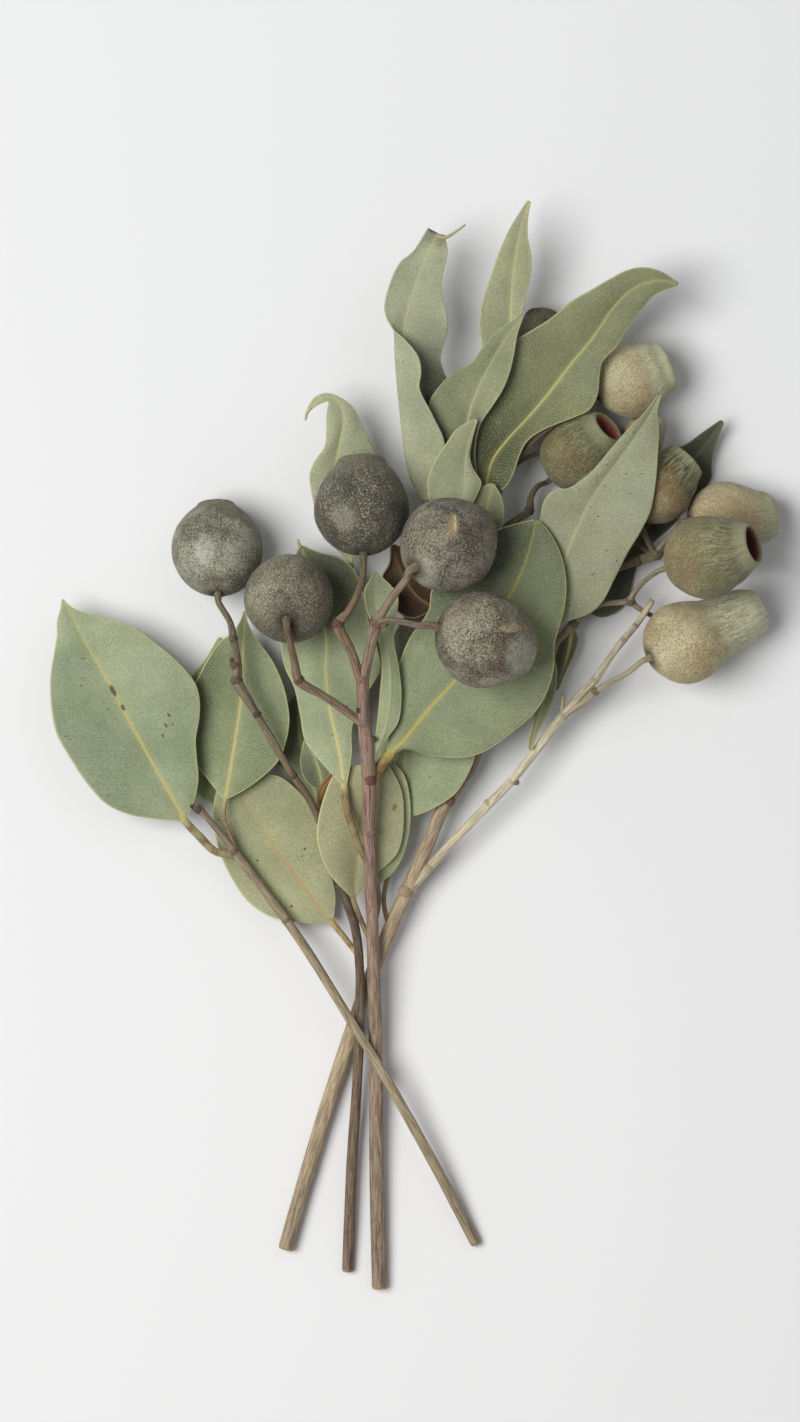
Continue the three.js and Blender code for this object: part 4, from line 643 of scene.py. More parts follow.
            (56, 138, 23), (64, 147.5, 24.5), (71, 158, 26), (78, 164.6, 27.5), (86, 167.4, 28.7),
            (94.2, 166.2, 29),
        ],
        "left": [
            (24.2, 92.8, 21.4), (20.8, 102, 21.2), (21, 112, 22), (25, 121, 23), (30, 130, 24),
            (33.5, 138, 24.5), (36.5, 146, 25), (42, 149.8, 25.5), (48, 153.5, 26), (56, 160, 26.6),
            (63, 164, 27.2), (70, 168, 27.8), (76, 171, 28.2), (82, 172, 28.6), (88, 170.6, 29),
            (93.7, 166.9, 29),
        ],
        "right": [
            (26.2, 92.2, 21.6), (31, 92.6, 23), (34.5, 97, 24), (37.3, 105, 24.5), (40, 110, 24.5),
            (45, 113.7, 24.5), (50, 116, 24.5), (57, 118.7, 24.6), (62.5, 121.5, 25), (65.3, 127, 25.6),
            (66, 134, 26), (67, 138.5, 26.4), (72, 143.8, 27), (76, 150, 27), (81, 157, 27.6),
            (86, 162.5, 28.4), (93.6, 165.5, 29),
        ],
        "stalk": [(25.2, 92.4, 21.4, 1.3), (26.4, 89.6, 22.2, 1.3), (27.4, 84, 22.4, 1.2)],
    },
    "leaf_top_bud": {
        "cup": 0.4, "mid": [(25.4, 76, 24), (25.6, 85, 25.2), (27.7, 94.8, 26.2)],
        "left": [(24.6, 76.4, 24), (20.8, 81, 25), (19.9, 87, 25.8), (21.5, 92, 26), (26.9, 94.9, 26.2)],
        "right": [
            (26.4, 76.4, 24), (30.6, 79.6, 24.6), (31.7, 84.6, 25.4), (30.8, 90, 26), (28.4, 94.4, 26.2),
        ],
        "stalk": [(25.4, 76, 24, 1), (26.4, 78, 22.4, 1), (27.6, 79.6, 19.6, 1)],
    },
    "leaf_upper_left": {
        "cup": 0.8,
        "mid": [
            (-23.2, 66.5, 12), (-25, 78, 13), (-28, 92, 14.4), (-28.5, 103, 16), (-27, 112, 17.4),
            (-26, 119, 18.6), (-27.6, 124, 19.6), (-31.4, 126.2, 20.4), (-35.4, 124.8, 20.8),
            (-38.4, 121.4, 20.4),
        ],
        "left": [
            (-24, 67, 12), (-32, 76, 13), (-36, 86, 14.2), (-37.6, 94, 15.6), (-38, 98.4, 16.6),
            (-36.2, 103, 17.4), (-32.6, 108, 18), (-31.8, 114, 18.6), (-31.7, 120, 19.2),
            (-31.2, 124.6, 20.2), (-34.6, 123.6, 20.6), (-38.6, 120.8, 20.4),
        ],
        "right": [
            (-22.4, 67, 12), (-16, 78, 12.4), (-12.8, 92, 13), (-14.3, 104.5, 15), (-17, 110.5, 16.4),
            (-20.5, 119, 18), (-23, 123, 19), (-26.8, 125.6, 19.8), (-31.6, 127.4, 20.4), (-36, 126, 20.8),
            (-38.9, 122, 20.4),
        ],
        "stalk": [(-23.2, 66.5, 12, 1), (-23, 64.6, 11.6, 0.9), (-23.8, 62, 10.6, 0.8)],
        "tail": [(-37.6, 122.3, 20.5, 0.7), (-39, 120.4, 20.2, 0.6), (-39.6, 117.8, 19.6, 0.4)],
    },
    "leaf_inner_dark": {
        "cup": 0.4, "mid": [(-34.6, -20, 6), (-39, -8, 4.6), (-42, 5, 4.2), (-42.4, 19, 5)],
        "left": [
            (-35.6, -20, 5.8), (-44, -14, 4), (-50, -4, 3.6), (-50.5, 8, 3.6), (-46.4, 15.4, 4.6),
            (-43.2, 19, 5),
        ],
        "right": [(-33.6, -19.4, 5.8), (-34, -7, 4.4), (-36.5, 6, 4.2), (-38.4, 14, 4.6), (-41.6, 19, 5)],
        "stalk": [(-34.6, -20, 6, 1), (-33.9, -22.6, 8, 0.9), (-33.3, -25.4, 10.6, 0.9)],
    },
    "leaf_inner_small": {
        "cup": 0.3, "mid": [(-33, -15.6, 12.6), (-35.4, -6, 13.4), (-39.4, 2.6, 14)],
        "left": [(-33.8, -15.6, 12.6), (-39.2, -12.4, 12), (-41.5, -6, 12.6), (-40.2, 2.6, 14)],
        "right": [(-32.2, -15, 12.6), (-30.8, -9, 13.2), (-33, -1, 14), (-38.6, 3, 14)],
        "stalk": [(-33, -15.6, 12.6, 0.9), (-33.2, -17.6, 11.6, 0.8), (-33.6, -19.6, 9.8, 0.8)],
    },
    "bract_brown": {
        "cup": 0.3, "skin": "leaf_brown",
        "mid": [(-34.8, -18.8, 14.2), (-32.8, -14.2, 15.2), (-29.6, -9.8, 16.4)],
        "left": [(-35.5, -18.4, 14.2), (-34.6, -14.6, 15), (-32.2, -11.2, 16), (-30.2, -9.4, 16.4)],
        "right": [(-34, -18.8, 14.2), (-31.4, -15, 15), (-29.9, -12, 16), (-29, -10.3, 16.4)],
        "stalk": [(-34.8, -18.8, 14.2, 0.9), (-34.6, -22, 13.6, 0.8), (-33, -27, 11.3, 0.8)],
    },
}


# Helpers

class Curve:
    """A centripetal Catmull-Rom curve through points, read by span (at) or by share of its length (along)."""

    def __init__(self, points):
        p = np.array(points, float)
        self.spans = len(p) - 1
        self.p = np.vstack([2 * p[0] - p[1], p, 2 * p[-1] - p[-2]])
        self.u = np.linspace(0, 1, CURVE_STEPS * self.spans + 1)
        steps = np.linalg.norm(np.diff(self.at(self.u), axis=0), axis=1)
        self.reach = np.concatenate([[0], np.cumsum(steps)])
        self.length = self.reach[-1]

    def at(self, u):
        x = np.clip(np.atleast_1d(u), 0, 1) * self.spans
        k = np.minimum(x.astype(int), self.spans - 1)
        w = (x - k)[:, None]
        a, b, c, d = (self.p[k + i] for i in range(4))

        def knot(m, n):
            return np.sqrt(np.linalg.norm(n - m, axis=1))[:, None]

        ab, bc, cd = knot(a, b), knot(b, c), knot(c, d)
        start = ((b - a) / ab - (c - a) / (ab + bc) + (c - b) / bc) * bc
        end = ((c - b) / bc - (d - b) / (bc + cd) + (d - c) / cd) * bc
        square = 3 * (c - b) - 2 * start - end
        cube = 2 * (b - c) + start + end
        return b + start * w + square * w**2 + cube * w**3

    def spot(self, t):
        return np.interp(np.atleast_1d(t) * self.length, self.reach, self.u)

    def along(self, t):
        return self.at(self.spot(t))


def noise(points, size, seed):
    """Smooth lumps from -1 to 1, about that size across, in the points' own unit."""
    q = np.asarray(points, float) / size + 31.7 * (seed % 97)
    cell = np.floor(q).astype(np.int64)
    part = q - cell
    part = part * part * (3 - 2 * part)
    total = np.zeros(len(q))
    for corner in np.ndindex(2, 2, 2):
        c = cell + corner
        mixed = (c[:, 0] * 73856093) ^ (c[:, 1] * 19349663) ^ (c[:, 2] * 83492791)
        mixed = ((mixed ^ (mixed >> 13)) & 0xFFFFFFFF) * 1274126177
        mixed = (mixed ^ (mixed >> 16)) & 0xFFFF
        total += (mixed / 32767.5 - 1) * np.prod(np.where(corner, part, 1 - part), axis=1)
    return total


def smooth(low, high, x):
    """A smooth rise from 0 at low to 1 at high."""
    x = np.clip((x - low) / (high - low), 0, 1)
    return x * x * (3 - 2 * x)


def unit(v):
    return v / np.maximum(np.linalg.norm(v, axis=-1, keepdims=True), 1e-9)


def circle(sides):
    """The cosines and sines of equal turns about an axis."""
    turn = 2 * math.pi * np.arange(sides) / sides
    return np.cos(turn), np.sin(turn)


def stack(x, y, z):
    """Grids of three coordinates as one long list of points, all as wide as the widest grid."""
    return np.stack(np.broadcast_arrays(x, y, z), axis=-1).reshape(-1, 3)


def ways(points):
    """Directions along a line of points."""
    return unit(np.gradient(points, axis=0))


def steady_frames(points):
    """Two directions across the curve at each point, which don't spin about it."""
    way = ways(points)
    across = np.zeros_like(points)
    side = np.array([0.0, 0.0, 1.0]) if abs(way[0, 2]) < 0.9 else np.array([1.0, 0.0, 0.0])
    for i, w in enumerate(way):
        side = unit(side - w * side.dot(w))
        across[i] = side
    return across, np.cross(way, across)


class Skin:
    """Vertices, faces and what each vertex says to its material, gathered from several grids."""

    def __init__(self):
        self.points = []
        self.faces = []
        self.facts = {}
        self.count = 0

    def add(self, grid, facts):
        """Adds closed rings, joined and capped at both ends, and kept above the surface.

        The rings turn right-handed about the way from the first to the last, so the faces look out.
        """
        rows, columns = grid.shape[:2]
        points = grid.reshape(-1, 3)
        points[:, 2] = np.maximum(points[:, 2], 0.0)
        i = np.arange(rows - 1)[:, None] * columns
        j = np.arange(columns)[None, :]
        k = (j + 1) % columns
        faces = np.stack([i + j, i + k, i + k + columns, i + j + columns], axis=-1).reshape(-1, 4).tolist()
        last = (rows - 1) * columns
        faces += [list(range(columns))[::-1], [last + j for j in range(columns)]]
        self.points.append(points)
        self.faces += [[i + self.count for i in face] for face in faces]
        for name, values in facts.items():
            self.facts.setdefault(name, []).append(values)
        self.count += len(points)


def make_piece(name, nodes, skin, material):
    """A visible piece that rides the part and stands in for its solids."""
    mesh = bpy.data.meshes.new(name)
    mesh.from_pydata((np.vstack(skin.points) * MM).tolist(), [], skin.faces)
    for fact, values in skin.facts.items():
        values = np.concatenate(values)
        vector = values.ndim == 2
        store = mesh.attributes.new(fact, "FLOAT_VECTOR" if vector else "FLOAT", "POINT")
        store.data.foreach_set("vector" if vector else "value", values.astype(np.float32).ravel())
    mesh.polygons.foreach_set("use_smooth", [True] * len(mesh.polygons))
    mesh.materials.append(material)
    mesh.update()
    obj = bpy.data.objects.new(name, mesh)
    bpy.context.scene.collection.objects.link(obj)
    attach(obj, "root")
    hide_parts(*nodes)


# Branches

def limb_grid(run, seed, sides, step, rough, cut=(0.0, 0.0), wide=1.0, high=1.0):
    """Rings of a grown round limb along (x, y, z, radius) points, with faint ridges, and each point's place.

    A place is the cosine and sine of a point's turn about the limb, and its reach along it.
    """
    run = np.array(run, float)
    curve = Curve(run[:, :3])
    rows = max(6, int(curve.length / step))
    u = curve.spot(np.linspace(0, 1, rows))
    centre = curve.at(u)
    radius = np.interp(u * curve.spans, np.arange(len(run)), run[:, 3])
    reach = np.linspace(0, curve.length, rows)
    across, other = steady_frames(centre)
    cos, sin = circle(sides)
    place = stack(cos, sin, reach[:, None])
    ridge = noise(place * [1, 1, 0.02], 0.42, seed)
    knots = noise(place * [1.2, 1.2, 1], 5.5, seed + 3)
    size = radius[:, None] * (1 + rough * (0.05 * ridge + 0.03 * knots)).reshape(rows, sides)
    for end, fresh in zip((0, -1), cut):
        if fresh:
            size[end] *= CUT_WIDTH
    grid = (
        centre[:, None, :]
        + high * size[:, :, None] * cos[None, :, None] * across[:, None, :]
        + wide * size[:, :, None] * sin[None, :, None] * other[:, None, :]
    )
    return grid, place


def tint_along(tints, share):
    """Linear colours at shares of a limb's length, from tints spaced evenly along it."""
    stops = np.array([linear(code)[:3] for code in tints])
    at = np.linspace(0, 1, len(stops))
    return np.stack([np.interp(share, at, stops[:, k]) for k in range(3)], axis=-1)


def bark_facts(streak, tint, fresh):
    """What bark tells its material: where its grain runs, its tint, how pale that is, and how freshly cut."""
    return {"streak": streak, "tint": tint, "tone": smooth(0.12, 0.42, tint.mean(axis=-1)), "fresh": fresh}


def stalk_end(pod, radius):
    """A stalk flares a little and ends just inside the pod's dimple."""
    way = unit(np.array(pod["neck_way"], float))
    centre = np.array(pod["centre"], float)
    flare = [(3.0, 1.0), (1.2, 1.15), (-0.4, 1.45), (-1.6, 1.2)]
    return [(*(centre - way * (pod["radius"] + back)), radius * size) for back, size in flare]


def add_limb(skin, limb, seed, start_cut):
    """One limb of a branch. A pod's stalk runs on into the pod, and any other limb ends in a cut."""
    run = list(limb["run"])
    if "pod" in limb:
        run += stalk_end(PODS[limb["pod"]], run[-1][3])
    cut = (float(start_cut), float("pod" not in limb))
    grid, place = limb_grid(run, seed, LIMB_SIDES, LIMB_STEP, 1.0, cut)
    fresh = np.zeros(grid.shape[:2])
    fresh[0], fresh[-1] = cut
    reach = place[:, 2]
    skin.add(grid, bark_facts(place, tint_along(limb["tints"], reach / reach[-1]), fresh.ravel()))


def add_knob(skin, centre, size, code, seed):
    """A small lump of bark: a bud, a leaf scar or the swelling at a fork."""
    rise = np.linspace(0.03, math.pi - 0.03, KNOB_ROWS)[:, None]
    cos, sin = circle(KNOB_TURNS)
    ball = stack(np.sin(rise) * cos, np.sin(rise) * sin, -np.cos(rise))
    points = np.array(centre) + ball * size * (1 + 0.14 * noise(ball * 3, 1.3, seed + 5))[:, None]
    zero = np.zeros(len(ball))
    skin.add(points.reshape(KNOB_ROWS, KNOB_TURNS, 3), bark_facts(ball * 2, tint_along([code], zero), zero))


def dress_branch(name, limbs, knobs, seed):
    skin = Skin()
    for number, limb in enumerate(limbs):
        add_limb(skin, limb, seed + 11 * number, number == 0)
    for x, y, z, size, tint in knobs:
        add_knob(skin, (x, y, z), size, tint, seed)
    make_piece(name + "_bark", [name], skin, BARK)


# Leaves

def blade_grid(leaf, mid, t, share):
    """A row of points at each t, from the left edge over the midrib to the right, at shares of each half."""
    rib = mid.along(t)
    fine = np.linspace(0, 1, 400)
    way = ways(mid.along(fine))
    way = np.stack([np.interp(t, fine, way[:, k]) for k in range(3)], axis=1)
    side = unit(np.stack([way[:, 1], -way[:, 0], np.zeros(len(t))], axis=1))
    halves = []
    for name, turn in (("left", -1), ("right", 1)):
        edge = Curve(leaf[name]).along(t)
        if "fold" in leaf and name == "left":
            fold = Curve(leaf["fold"]).along(t)
            half = np.stack([Curve(line).at(share) for line in zip(rib, fold, edge)])
        else:
            width = np.linalg.norm((edge - rib)[:, :2], axis=1)
            thin = width < LEAST_HALF_WIDTH
            edge[thin] = rib[thin] + turn * side[thin] * LEAST_HALF_WIDTH
            half = rib[:, None] + (edge - rib)[:, None] * share[None, :, None]
            bow = leaf["cup"] * np.minimum(1, width / BOW_WIDTH)
            half[:, :, 2] += bow[:, None] * 4 * share * (1 - share)
        halves.append(half)
    return np.concatenate([halves[0][:, ::-1], rib[:, None], halves[1]], axis=1)


def add_blade(skin, leaf, seed):
    """A blade between its two edges, with a raised midrib, thicker margins and a slight ripple."""
    mid = Curve(leaf["mid"])
    rows = int(max(LEAST_BLADE_ROWS, mid.length * BLADE_ROWS_PER_MM))
    t = np.linspace(0, 1, rows)
    t = 0.5 * t + 0.25 * (1 - np.cos(math.pi * t))
    share = np.linspace(0, 1, BLADE_COLUMNS + 1)[1:]
    share = 0.55 * share + 0.45 * np.sin(share * math.pi / 2) ** 1.2
    grid = blade_grid(leaf, mid, t, share)
    across = np.gradient(grid, axis=1)
    up = unit(np.cross(across, np.gradient(grid, axis=0)))

    steps = np.linalg.norm(np.diff(grid, axis=1), axis=2)
    left_out = -np.cumsum(steps[:, :BLADE_COLUMNS][:, ::-1], axis=1)[:, ::-1]
    right_out = np.cumsum(steps[:, BLADE_COLUMNS:], axis=1)
    out = np.concatenate([left_out, np.zeros((rows, 1)), right_out], axis=1)
    rim = np.minimum(np.where(out < 0, out - out[:, :1], out[:, -1:] - out), RIM_READS_TO)
    reach = t[:, None] * mid.length * np.ones(out.shape[1])

    t_column = t[:, None]
    fade = smooth(0, 0.1, t_column) * (1 - 0.6 * smooth(0.9, 1, t_column))
    flat = stack(reach, np.sign(out) * 40 + out * 0.2, 0.0)
    waves = sum(depth * noise(flat, length, seed + i) for i, (depth, length) in enumerate(RIPPLES))
    edge_share = np.concatenate([share[::-1], [0], share])
    ripple = waves.reshape(out.shape) * edge_share**2 * np.minimum(1, np.abs(out) / RIPPLE_WIDTH) * fade
    width = TIP_RIB_WIDTH + RIB_WIDTH * (1 - t_column)
    height = (TIP_RIB_HEIGHT + RIB_HEIGHT * (1 - t_column)) * (1 - 0.5 * smooth(0.92, 1, t_column))
    crest = height * (np.exp(-((out / width) ** 2)) - 0.25 * np.exp(-((out / (0.4 * width)) ** 2)))
    bead = np.exp(-((rim / MARGIN_BEAD) ** 2))
    thick = BLADE_HALF_THICKNESS + (MARGIN_HALF_THICKNESS - BLADE_HALF_THICKNESS) * bead
    upper = grid + up * (ripple + thick + crest)[:, :, None]
    lower = grid + up * (ripple - thick - 0.6 * crest)[:, :, None]
    left_lip = grid[:, :1] - unit(across[:, :1]) * MARGIN_LIP + up[:, :1] * ripple[:, :1, None]
    right_lip = grid[:, -1:] + unit(across[:, -1:]) * MARGIN_LIP + up[:, -1:] * ripple[:, -1:, None]

    def both(values):
        """Values of a row of the upper face, then the right lip, the lower face and the left lip."""
        return np.concatenate([values, values[:, -1:], values[:, ::-1], values[:, :1]], axis=1).ravel()

    ring = np.concatenate([upper, right_lip, lower[:, ::-1], left_lip], axis=1)
    skin.add(ring, {
        "reach": both(reach),
        "out": both(out),
        "rim": both(rim),
        "share": both(t_column * np.ones(out.shape[1])),
        "stalk": np.zeros(ring.shape[0] * ring.shape[1]),
    })
    return mid


def add_stalk(skin, run, seed, step, rough, facts, backward=0.0, wide=1.0, high=1.0):
    """A leaf's stalk or the thread at its tip, which tells its material the same facts as the blade.

    A stalk runs backward from the blade, so its reach goes down along it.
    """
    grid, place = limb_grid(run, seed, STALK_SIDES, step, rough, wide=wide, high=high)
    facts = {name: np.full(len(place), value) for name, value in facts.items()}
    facts["reach"] -= backward * place[:, 2]
    skin.add(grid, facts)


def dress_leaf(name, leaf, look, seed):
    skin = Skin()
    mid = add_blade(skin, leaf, seed)
    first, *rest = leaf["stalk"]
    run = [(*mid.along(0.05)[0], 0.35), (*first[:3], 0.74 * first[3])]
    run += [(*p[:3], 0.86 * p[3]) for p in rest]
    facts = {"reach": 0.0, "out": 0.0, "rim": 6.0, "share": 0.0, "stalk": 1.0}
    add_stalk(skin, run, seed + 5, STALK_STEP, 0.9, facts, 1.0, look["stalk_width"], STALK_HEIGHT)
    if "tail" in leaf:
        facts = {"reach": mid.length, "out": 0.0, "rim": 0.3, "share": 1.0, "stalk": 0.25}
        add_stalk(skin, leaf["tail"], seed + 7, TAIL_STEP, 0.5, facts)
    make_piece(name + "_blade", [name], skin, leaf_material(name, look, seed))


# Pods

def pod_profile(pod):
    """The (radius, height) points that are turned into a pod: up its outside, its rim, and down its mouth."""
    r, m = pod["radius"], pod["mouth"]
    n, top = pod["neck"][-1]
    outside = [
        (0.05, -0.93 * r), (1.3, -0.94 * r), (2.5, -0.985 * r), (0.3 * r, -0.962 * r), (0.56 * r, -0.835 * r),
        (0.84 * r, -0.545 * r), (0.985 * r, -0.2 * r), (0.985 * r, 0.17 * r), (0.88 * r, 0.47 * r),
        *pod["neck"], (0.965 * n, top + 0.08 * n),
    ]
    inside = [
        (0.45 * m + 0.48 * n, top + 0.115 * n), (m * 1.03, top + 0.03 * n), (m * 0.97, top - 0.3 * m),
        (m * 0.94, top - 0.9 * m), (m * 0.78, top - 1.35 * m), (m * 0.4, top - 1.5 * m),
        (0.03, top - 1.48 * m),
    ]
    return outside, (0.88 * n, top + 0.12 * n), inside


def add_pod(skin, pod, seed):
    """A turned body with a dimple at the stalk, a short neck, a rolled rim and a deep mouth, worn uneven."""
    r = pod["radius"]
    shoulder = pod["neck"][0][1]
    outside, rim, inside = pod_profile(pod)
    end = rim[1]
    profile = [*outside, rim, *inside]
    line = Curve([(x, y, 0) for x, y in profile])
    t = np.linspace(0, 1, POD_ROWS)
    place = line.along(t)
    knots = np.interp(np.arange(len(profile)) / line.spans, line.u, line.reach) / line.length
    rim_at = knots[len(outside)]
    t_column = t[:, None]
    cos, sin = circle(POD_TURNS)
    out, rise = place[:, :1], place[:, 1:2]
    shape = (POD_ROWS, POD_TURNS)
    flat = stack(out * cos, out * sin, rise)
    slope = ways(place)
    face = stack(slope[:, 1:2] * cos, slope[:, 1:2] * sin, -slope[:, :1])

    skin_deep = 1 - smooth(rim_at - 0.02, rim_at + 0.03, t_column)
    neckish = smooth(shoulder - 0.35 * r, end, rise)
    lumps = 0.026 * r * noise(flat, 0.95 * r, seed) + 0.012 * r * noise(flat, 0.4 * r, seed + 1)
    grain = 0.07 * noise(flat, 1.9, seed + 2) + 0.035 * noise(flat, 0.8, seed + 3)
    ribs = noise(stack(cos, sin, rise * 0.012), 0.16, seed + 4).reshape(shape)
    wave = (lumps + grain).reshape(shape) * (0.25 + 0.75 * skin_deep)
    wave += POD_RIB_DEPTH * ribs * neckish * skin_deep
    wave *= smooth(0.6, 4, out)
    points = flat.reshape(*shape, 3) + face.reshape(*shape, 3) * wave[:, :, None]
    axis = unit(np.array(pod["neck_way"], float))
    helper = np.array([0.0, 0.0, 1.0]) if abs(axis[2]) < 0.9 else np.array([0.0, 1.0, 0.0])
    first = unit(helper - axis * helper.dot(axis))
    second = np.cross(axis, first)
    turned = points[:, :, :1] * first + points[:, :, 1:2] * second + points[:, :, 2:] * axis + pod["centre"]

    def all_round(values):
        return np.broadcast_to(values, shape).ravel()

    skin.add(turned, {
        "streak": stack(cos, sin, rise),
        "necking": all_round(smooth(0.1 * r, end - 0.1 * pod["neck"][-1][0], rise)),
        "inside": all_round(smooth(rim_at + 0.004, rim_at + 0.045, t_column)),
        "depth": all_round(smooth(rim_at + 0.03, 0.95, t_column)),
        # Where painted shade darkens the dimple at the stalk.
        "dimple": all_round((1 - smooth(2.2, 6.6, out)) * (rise < 0)),
    })


def dress_pod(name, pod, look, seed):
    skin = Skin()
    add_pod(skin, pod, seed)
    make_piece(name + "_shell", [name], skin, pod_material(name, look, seed))


# Materials

# Cells to a millimetre, of which a few hold a speck.
SPECK_CELLS = 0.34
SPECK = "4c3b2b"
STAIN = "8a7a55"
SCORCH = "7d6a48"
STALK_LINES = "5f4a38"
POD_SCAR = "b7a07a"
# Painted shade in the dimple where the stalk goes in.
DIMPLE_SHADE = "40352d"
MOUTH_PATCHES = "4e221d"


def linear(code):
    """A colour written as six hex digits, as Blender's scene-linear values."""
    parts = [int(code[i:i + 2], 16) / 255 for i in (0, 2, 4)]
    return (*(c / 12.92 if c <= 0.04045 else ((c + 0.055) / 1.055) ** 2.4 for c in parts), 1.0)


class Paint:
    """Builds one material's nodes: each method adds a node and gives its output."""

    def __init__(self, name):
        self.material = bpy.data.materials.new(name)
        self.material.use_nodes = True
        self.tree = self.material.node_tree
        self.tree.nodes.clear()

    def node(self, kind, inputs, output=0, **settings):
        made = self.tree.nodes.new("ShaderNode" + kind)
        for key, value in settings.items():
            setattr(made, key, value)
        for key, value in inputs.items():
            if isinstance(value, bpy.types.NodeSocket):
                self.tree.links.new(value, made.inputs[key])
            elif value is not None:
                made.inputs[key].default_value = value
        return made.outputs[output]

    def fact(self, name):
        return self.node("Attribute", {}, "Fac", attribute_name=name)

    def vector_fact(self, name):
        return self.node("Attribute", {}, "Vector", attribute_name=name)

    def place(self):
        return self.node("TexCoord", {}, "Object")

    def math(self, kind, a, b=None, clamp=False):
        return self.node("Math", {0: a, 1: b}, operation=kind, use_clamp=clamp)

    def times(self, a, b, clamp=False):
        return self.math("MULTIPLY", a, b, clamp)

    def plus(self, a, b, clamp=False):
        return self.math("ADD", a, b, clamp)

    def minus(self, a, b):
        return self.math("SUBTRACT", a, b)

    def over(self, a, b):
        return self.math("DIVIDE", a, b)

    def mapped(self, vector, scale, offset=(0, 0, 0)):
        return self.node("Mapping", {"Vector": vector, "Scale": scale, "Location": offset})

    def moved(self, vector, *offset):
        return self.mapped(vector, (1, 1, 1), offset)

    def noise(self, vector, scale, detail=2.0, rough=0.5, distortion=0.0):
        inputs = {"Vector": vector, "Scale": scale, "Detail": detail, "Roughness": rough}
        return self.node("TexNoise", {**inputs, "Distortion": distortion}, "Fac")

    def cells(self, vector, scale, output="Distance", feature="F1"):
        return self.node("TexVoronoi", {"Vector": vector, "Scale": scale}, output, feature=feature)

    def step(self, value, low, high, start=0.0, end=1.0):
        inputs = {"Value": value, "From Min": low, "From Max": high, "To Min": start, "To Max": end}
        return self.node("MapRange", inputs, interpolation_type="SMOOTHSTEP")

    def blend(self, share, a, b, kind="MIX"):
        return self.node("Mix", {0: share, 6: a, 7: b}, 2, data_type="RGBA", blend_type=kind)

    def tinted(self, colour, mask, share, code, kind="MIX"):
        """The colour with a tint over it where the mask is, at the most by that share."""
        return self.blend(self.times(mask, share), colour, linear(code), kind)

    def bump(self, height, depth, strength, after=None):
        inputs = {"Height": height, "Distance": depth * MM, "Strength": strength, "Normal": after}
        return self.node("Bump", inputs)

    def finish(self, colour, roughness, normal, specular, sheen=0.0):
        shader = self.node("BsdfPrincipled", {
            "Base Color": colour, "Roughness": roughness, "Normal": normal, "Specular IOR Level": specular,
            "Sheen Weight": sheen,
        })
        end = self.tree.nodes.new("ShaderNodeOutputMaterial")
        self.tree.links.new(shader, end.inputs["Surface"])
        return self.material


def leaf_ground(p, look, spot, share, out):
    """The leaf's mottled green, with its bloom of wax, and stretches darkened with painted shade or lightened
    with painted highlights; a few stretches are the leaf's own tone.
    """
    patches = p.step(p.noise(spot, 30, 2, 0.5), 0.36, 0.64)
    colour = p.blend(patches, linear(look["base"]), linear(look["other"]))
    bloom = p.step(p.noise(spot, 50, 3, 0.5, 0.4), 0.42, 0.72)
    colour = p.tinted(colour, bloom, look["bloom"], look["wax"])
    for along, across, amount, code in look["shade"]:
        painted_shade_and_tone = p.step(share, *along, 0.0, amount) if along else amount
        if across:
            painted_shade_and_tone = p.times(p.step(out, *across), painted_shade_and_tone)
        colour = p.blend(painted_shade_and_tone, colour, linear(code))
    mottle = p.step(p.noise(spot, 75, 3, 0.5), 0.3, 0.7, 0.91, 1.09)
    return p.blend(1.0, colour, mottle, "MULTIPLY")


def leaf_blemishes(p, look, spot, flat, rim, colour):
    """Rare dark specks, faint stains, a scorched edge here and there, and the pale margin over them."""
    rare = 1 - look["specks"]
    pick = p.node("SeparateColor", {"Color": p.cells(flat, SPECK_CELLS, "Color")})
    dot = p.times(p.step(p.cells(flat, SPECK_CELLS), 0.13, 0.06), p.step(pick, rare, rare + 0.02))
    colour = p.tinted(colour, dot, 0.85, SPECK)
    stain = p.step(p.noise(spot, 130, 5, 0.7, 0.8), 0.7, 0.78)
    colour = p.tinted(colour, stain, look["stain"], STAIN)
    edge = p.plus(rim, p.times(p.noise(spot, 500), 0.3))
    scorch = p.times(p.step(edge, 1.3, 0.3), p.step(p.noise(spot, 70), 0.6, 0.7))
    colour = p.tinted(colour, scorch, look["scorch"], SCORCH)
    return p.tinted(colour, p.step(edge, 0.62, 0.3), look["margin_share"], look["margin"])


def leaf_rib(p, look, away, share, colour):
    """The pale midrib, which thins and fades to the tip, with a deeper core and a faint glow beside it."""
    width = p.plus(0.26, p.times(p.minus(1.0, share), 0.42))
    from_rib = p.over(away, width)
    core = p.step(from_rib, 0.4, 0.1)
    rib_colour = p.tinted(linear(look["rib"]), core, 0.5, look["core"])
    fading = p.step(share, 1.0, 0.35, look["rib_end"], 0.8)
    colour = p.tinted(colour, p.step(from_rib, 5.0, 0.8), 0.16, look["rib"])
    return p.blend(p.times(p.step(from_rib, 1.35, 0.6), fading), colour, rib_colour)


def leaf_scars(p, look, spot, reach, out, colour):
    """Dark knocks with ragged edges, each at one place of the blade."""
    for at, side, long, wide, code in look["scars"]:
        u = p.over(p.minus(reach, at), long)
        v = p.over(p.minus(out, side), wide)
        ring = p.plus(p.plus(p.times(u, u), p.times(v, v)), p.times(p.noise(spot, 900, 3, 0.7), 1.1))
        colour = p.tinted(colour, p.step(ring, 1.5, 0.9), 0.85, code)
    return colour


def stalk_colour(p, look, place, spot, reach):
    """The stalk's brown with fine dark lines, which turns into the rib's colour near the blade."""
    drift = p.step(p.noise(spot, 260, 3), 0.4, 0.65)
    colour = p.blend(drift, linear(look["stalk"]), linear(look["stalk_dark"]))
    colour = p.blend(p.step(reach, -9.0, -2.0, 0.0, 0.8), colour, linear(look["rib"]))
    lines = p.step(p.noise(p.mapped(place, (1, 0.25, 1)), 1500, 2, 0.6), 0.5, 0.62, 0.0, 0.4)
    return p.blend(lines, colour, linear(STALK_LINES))


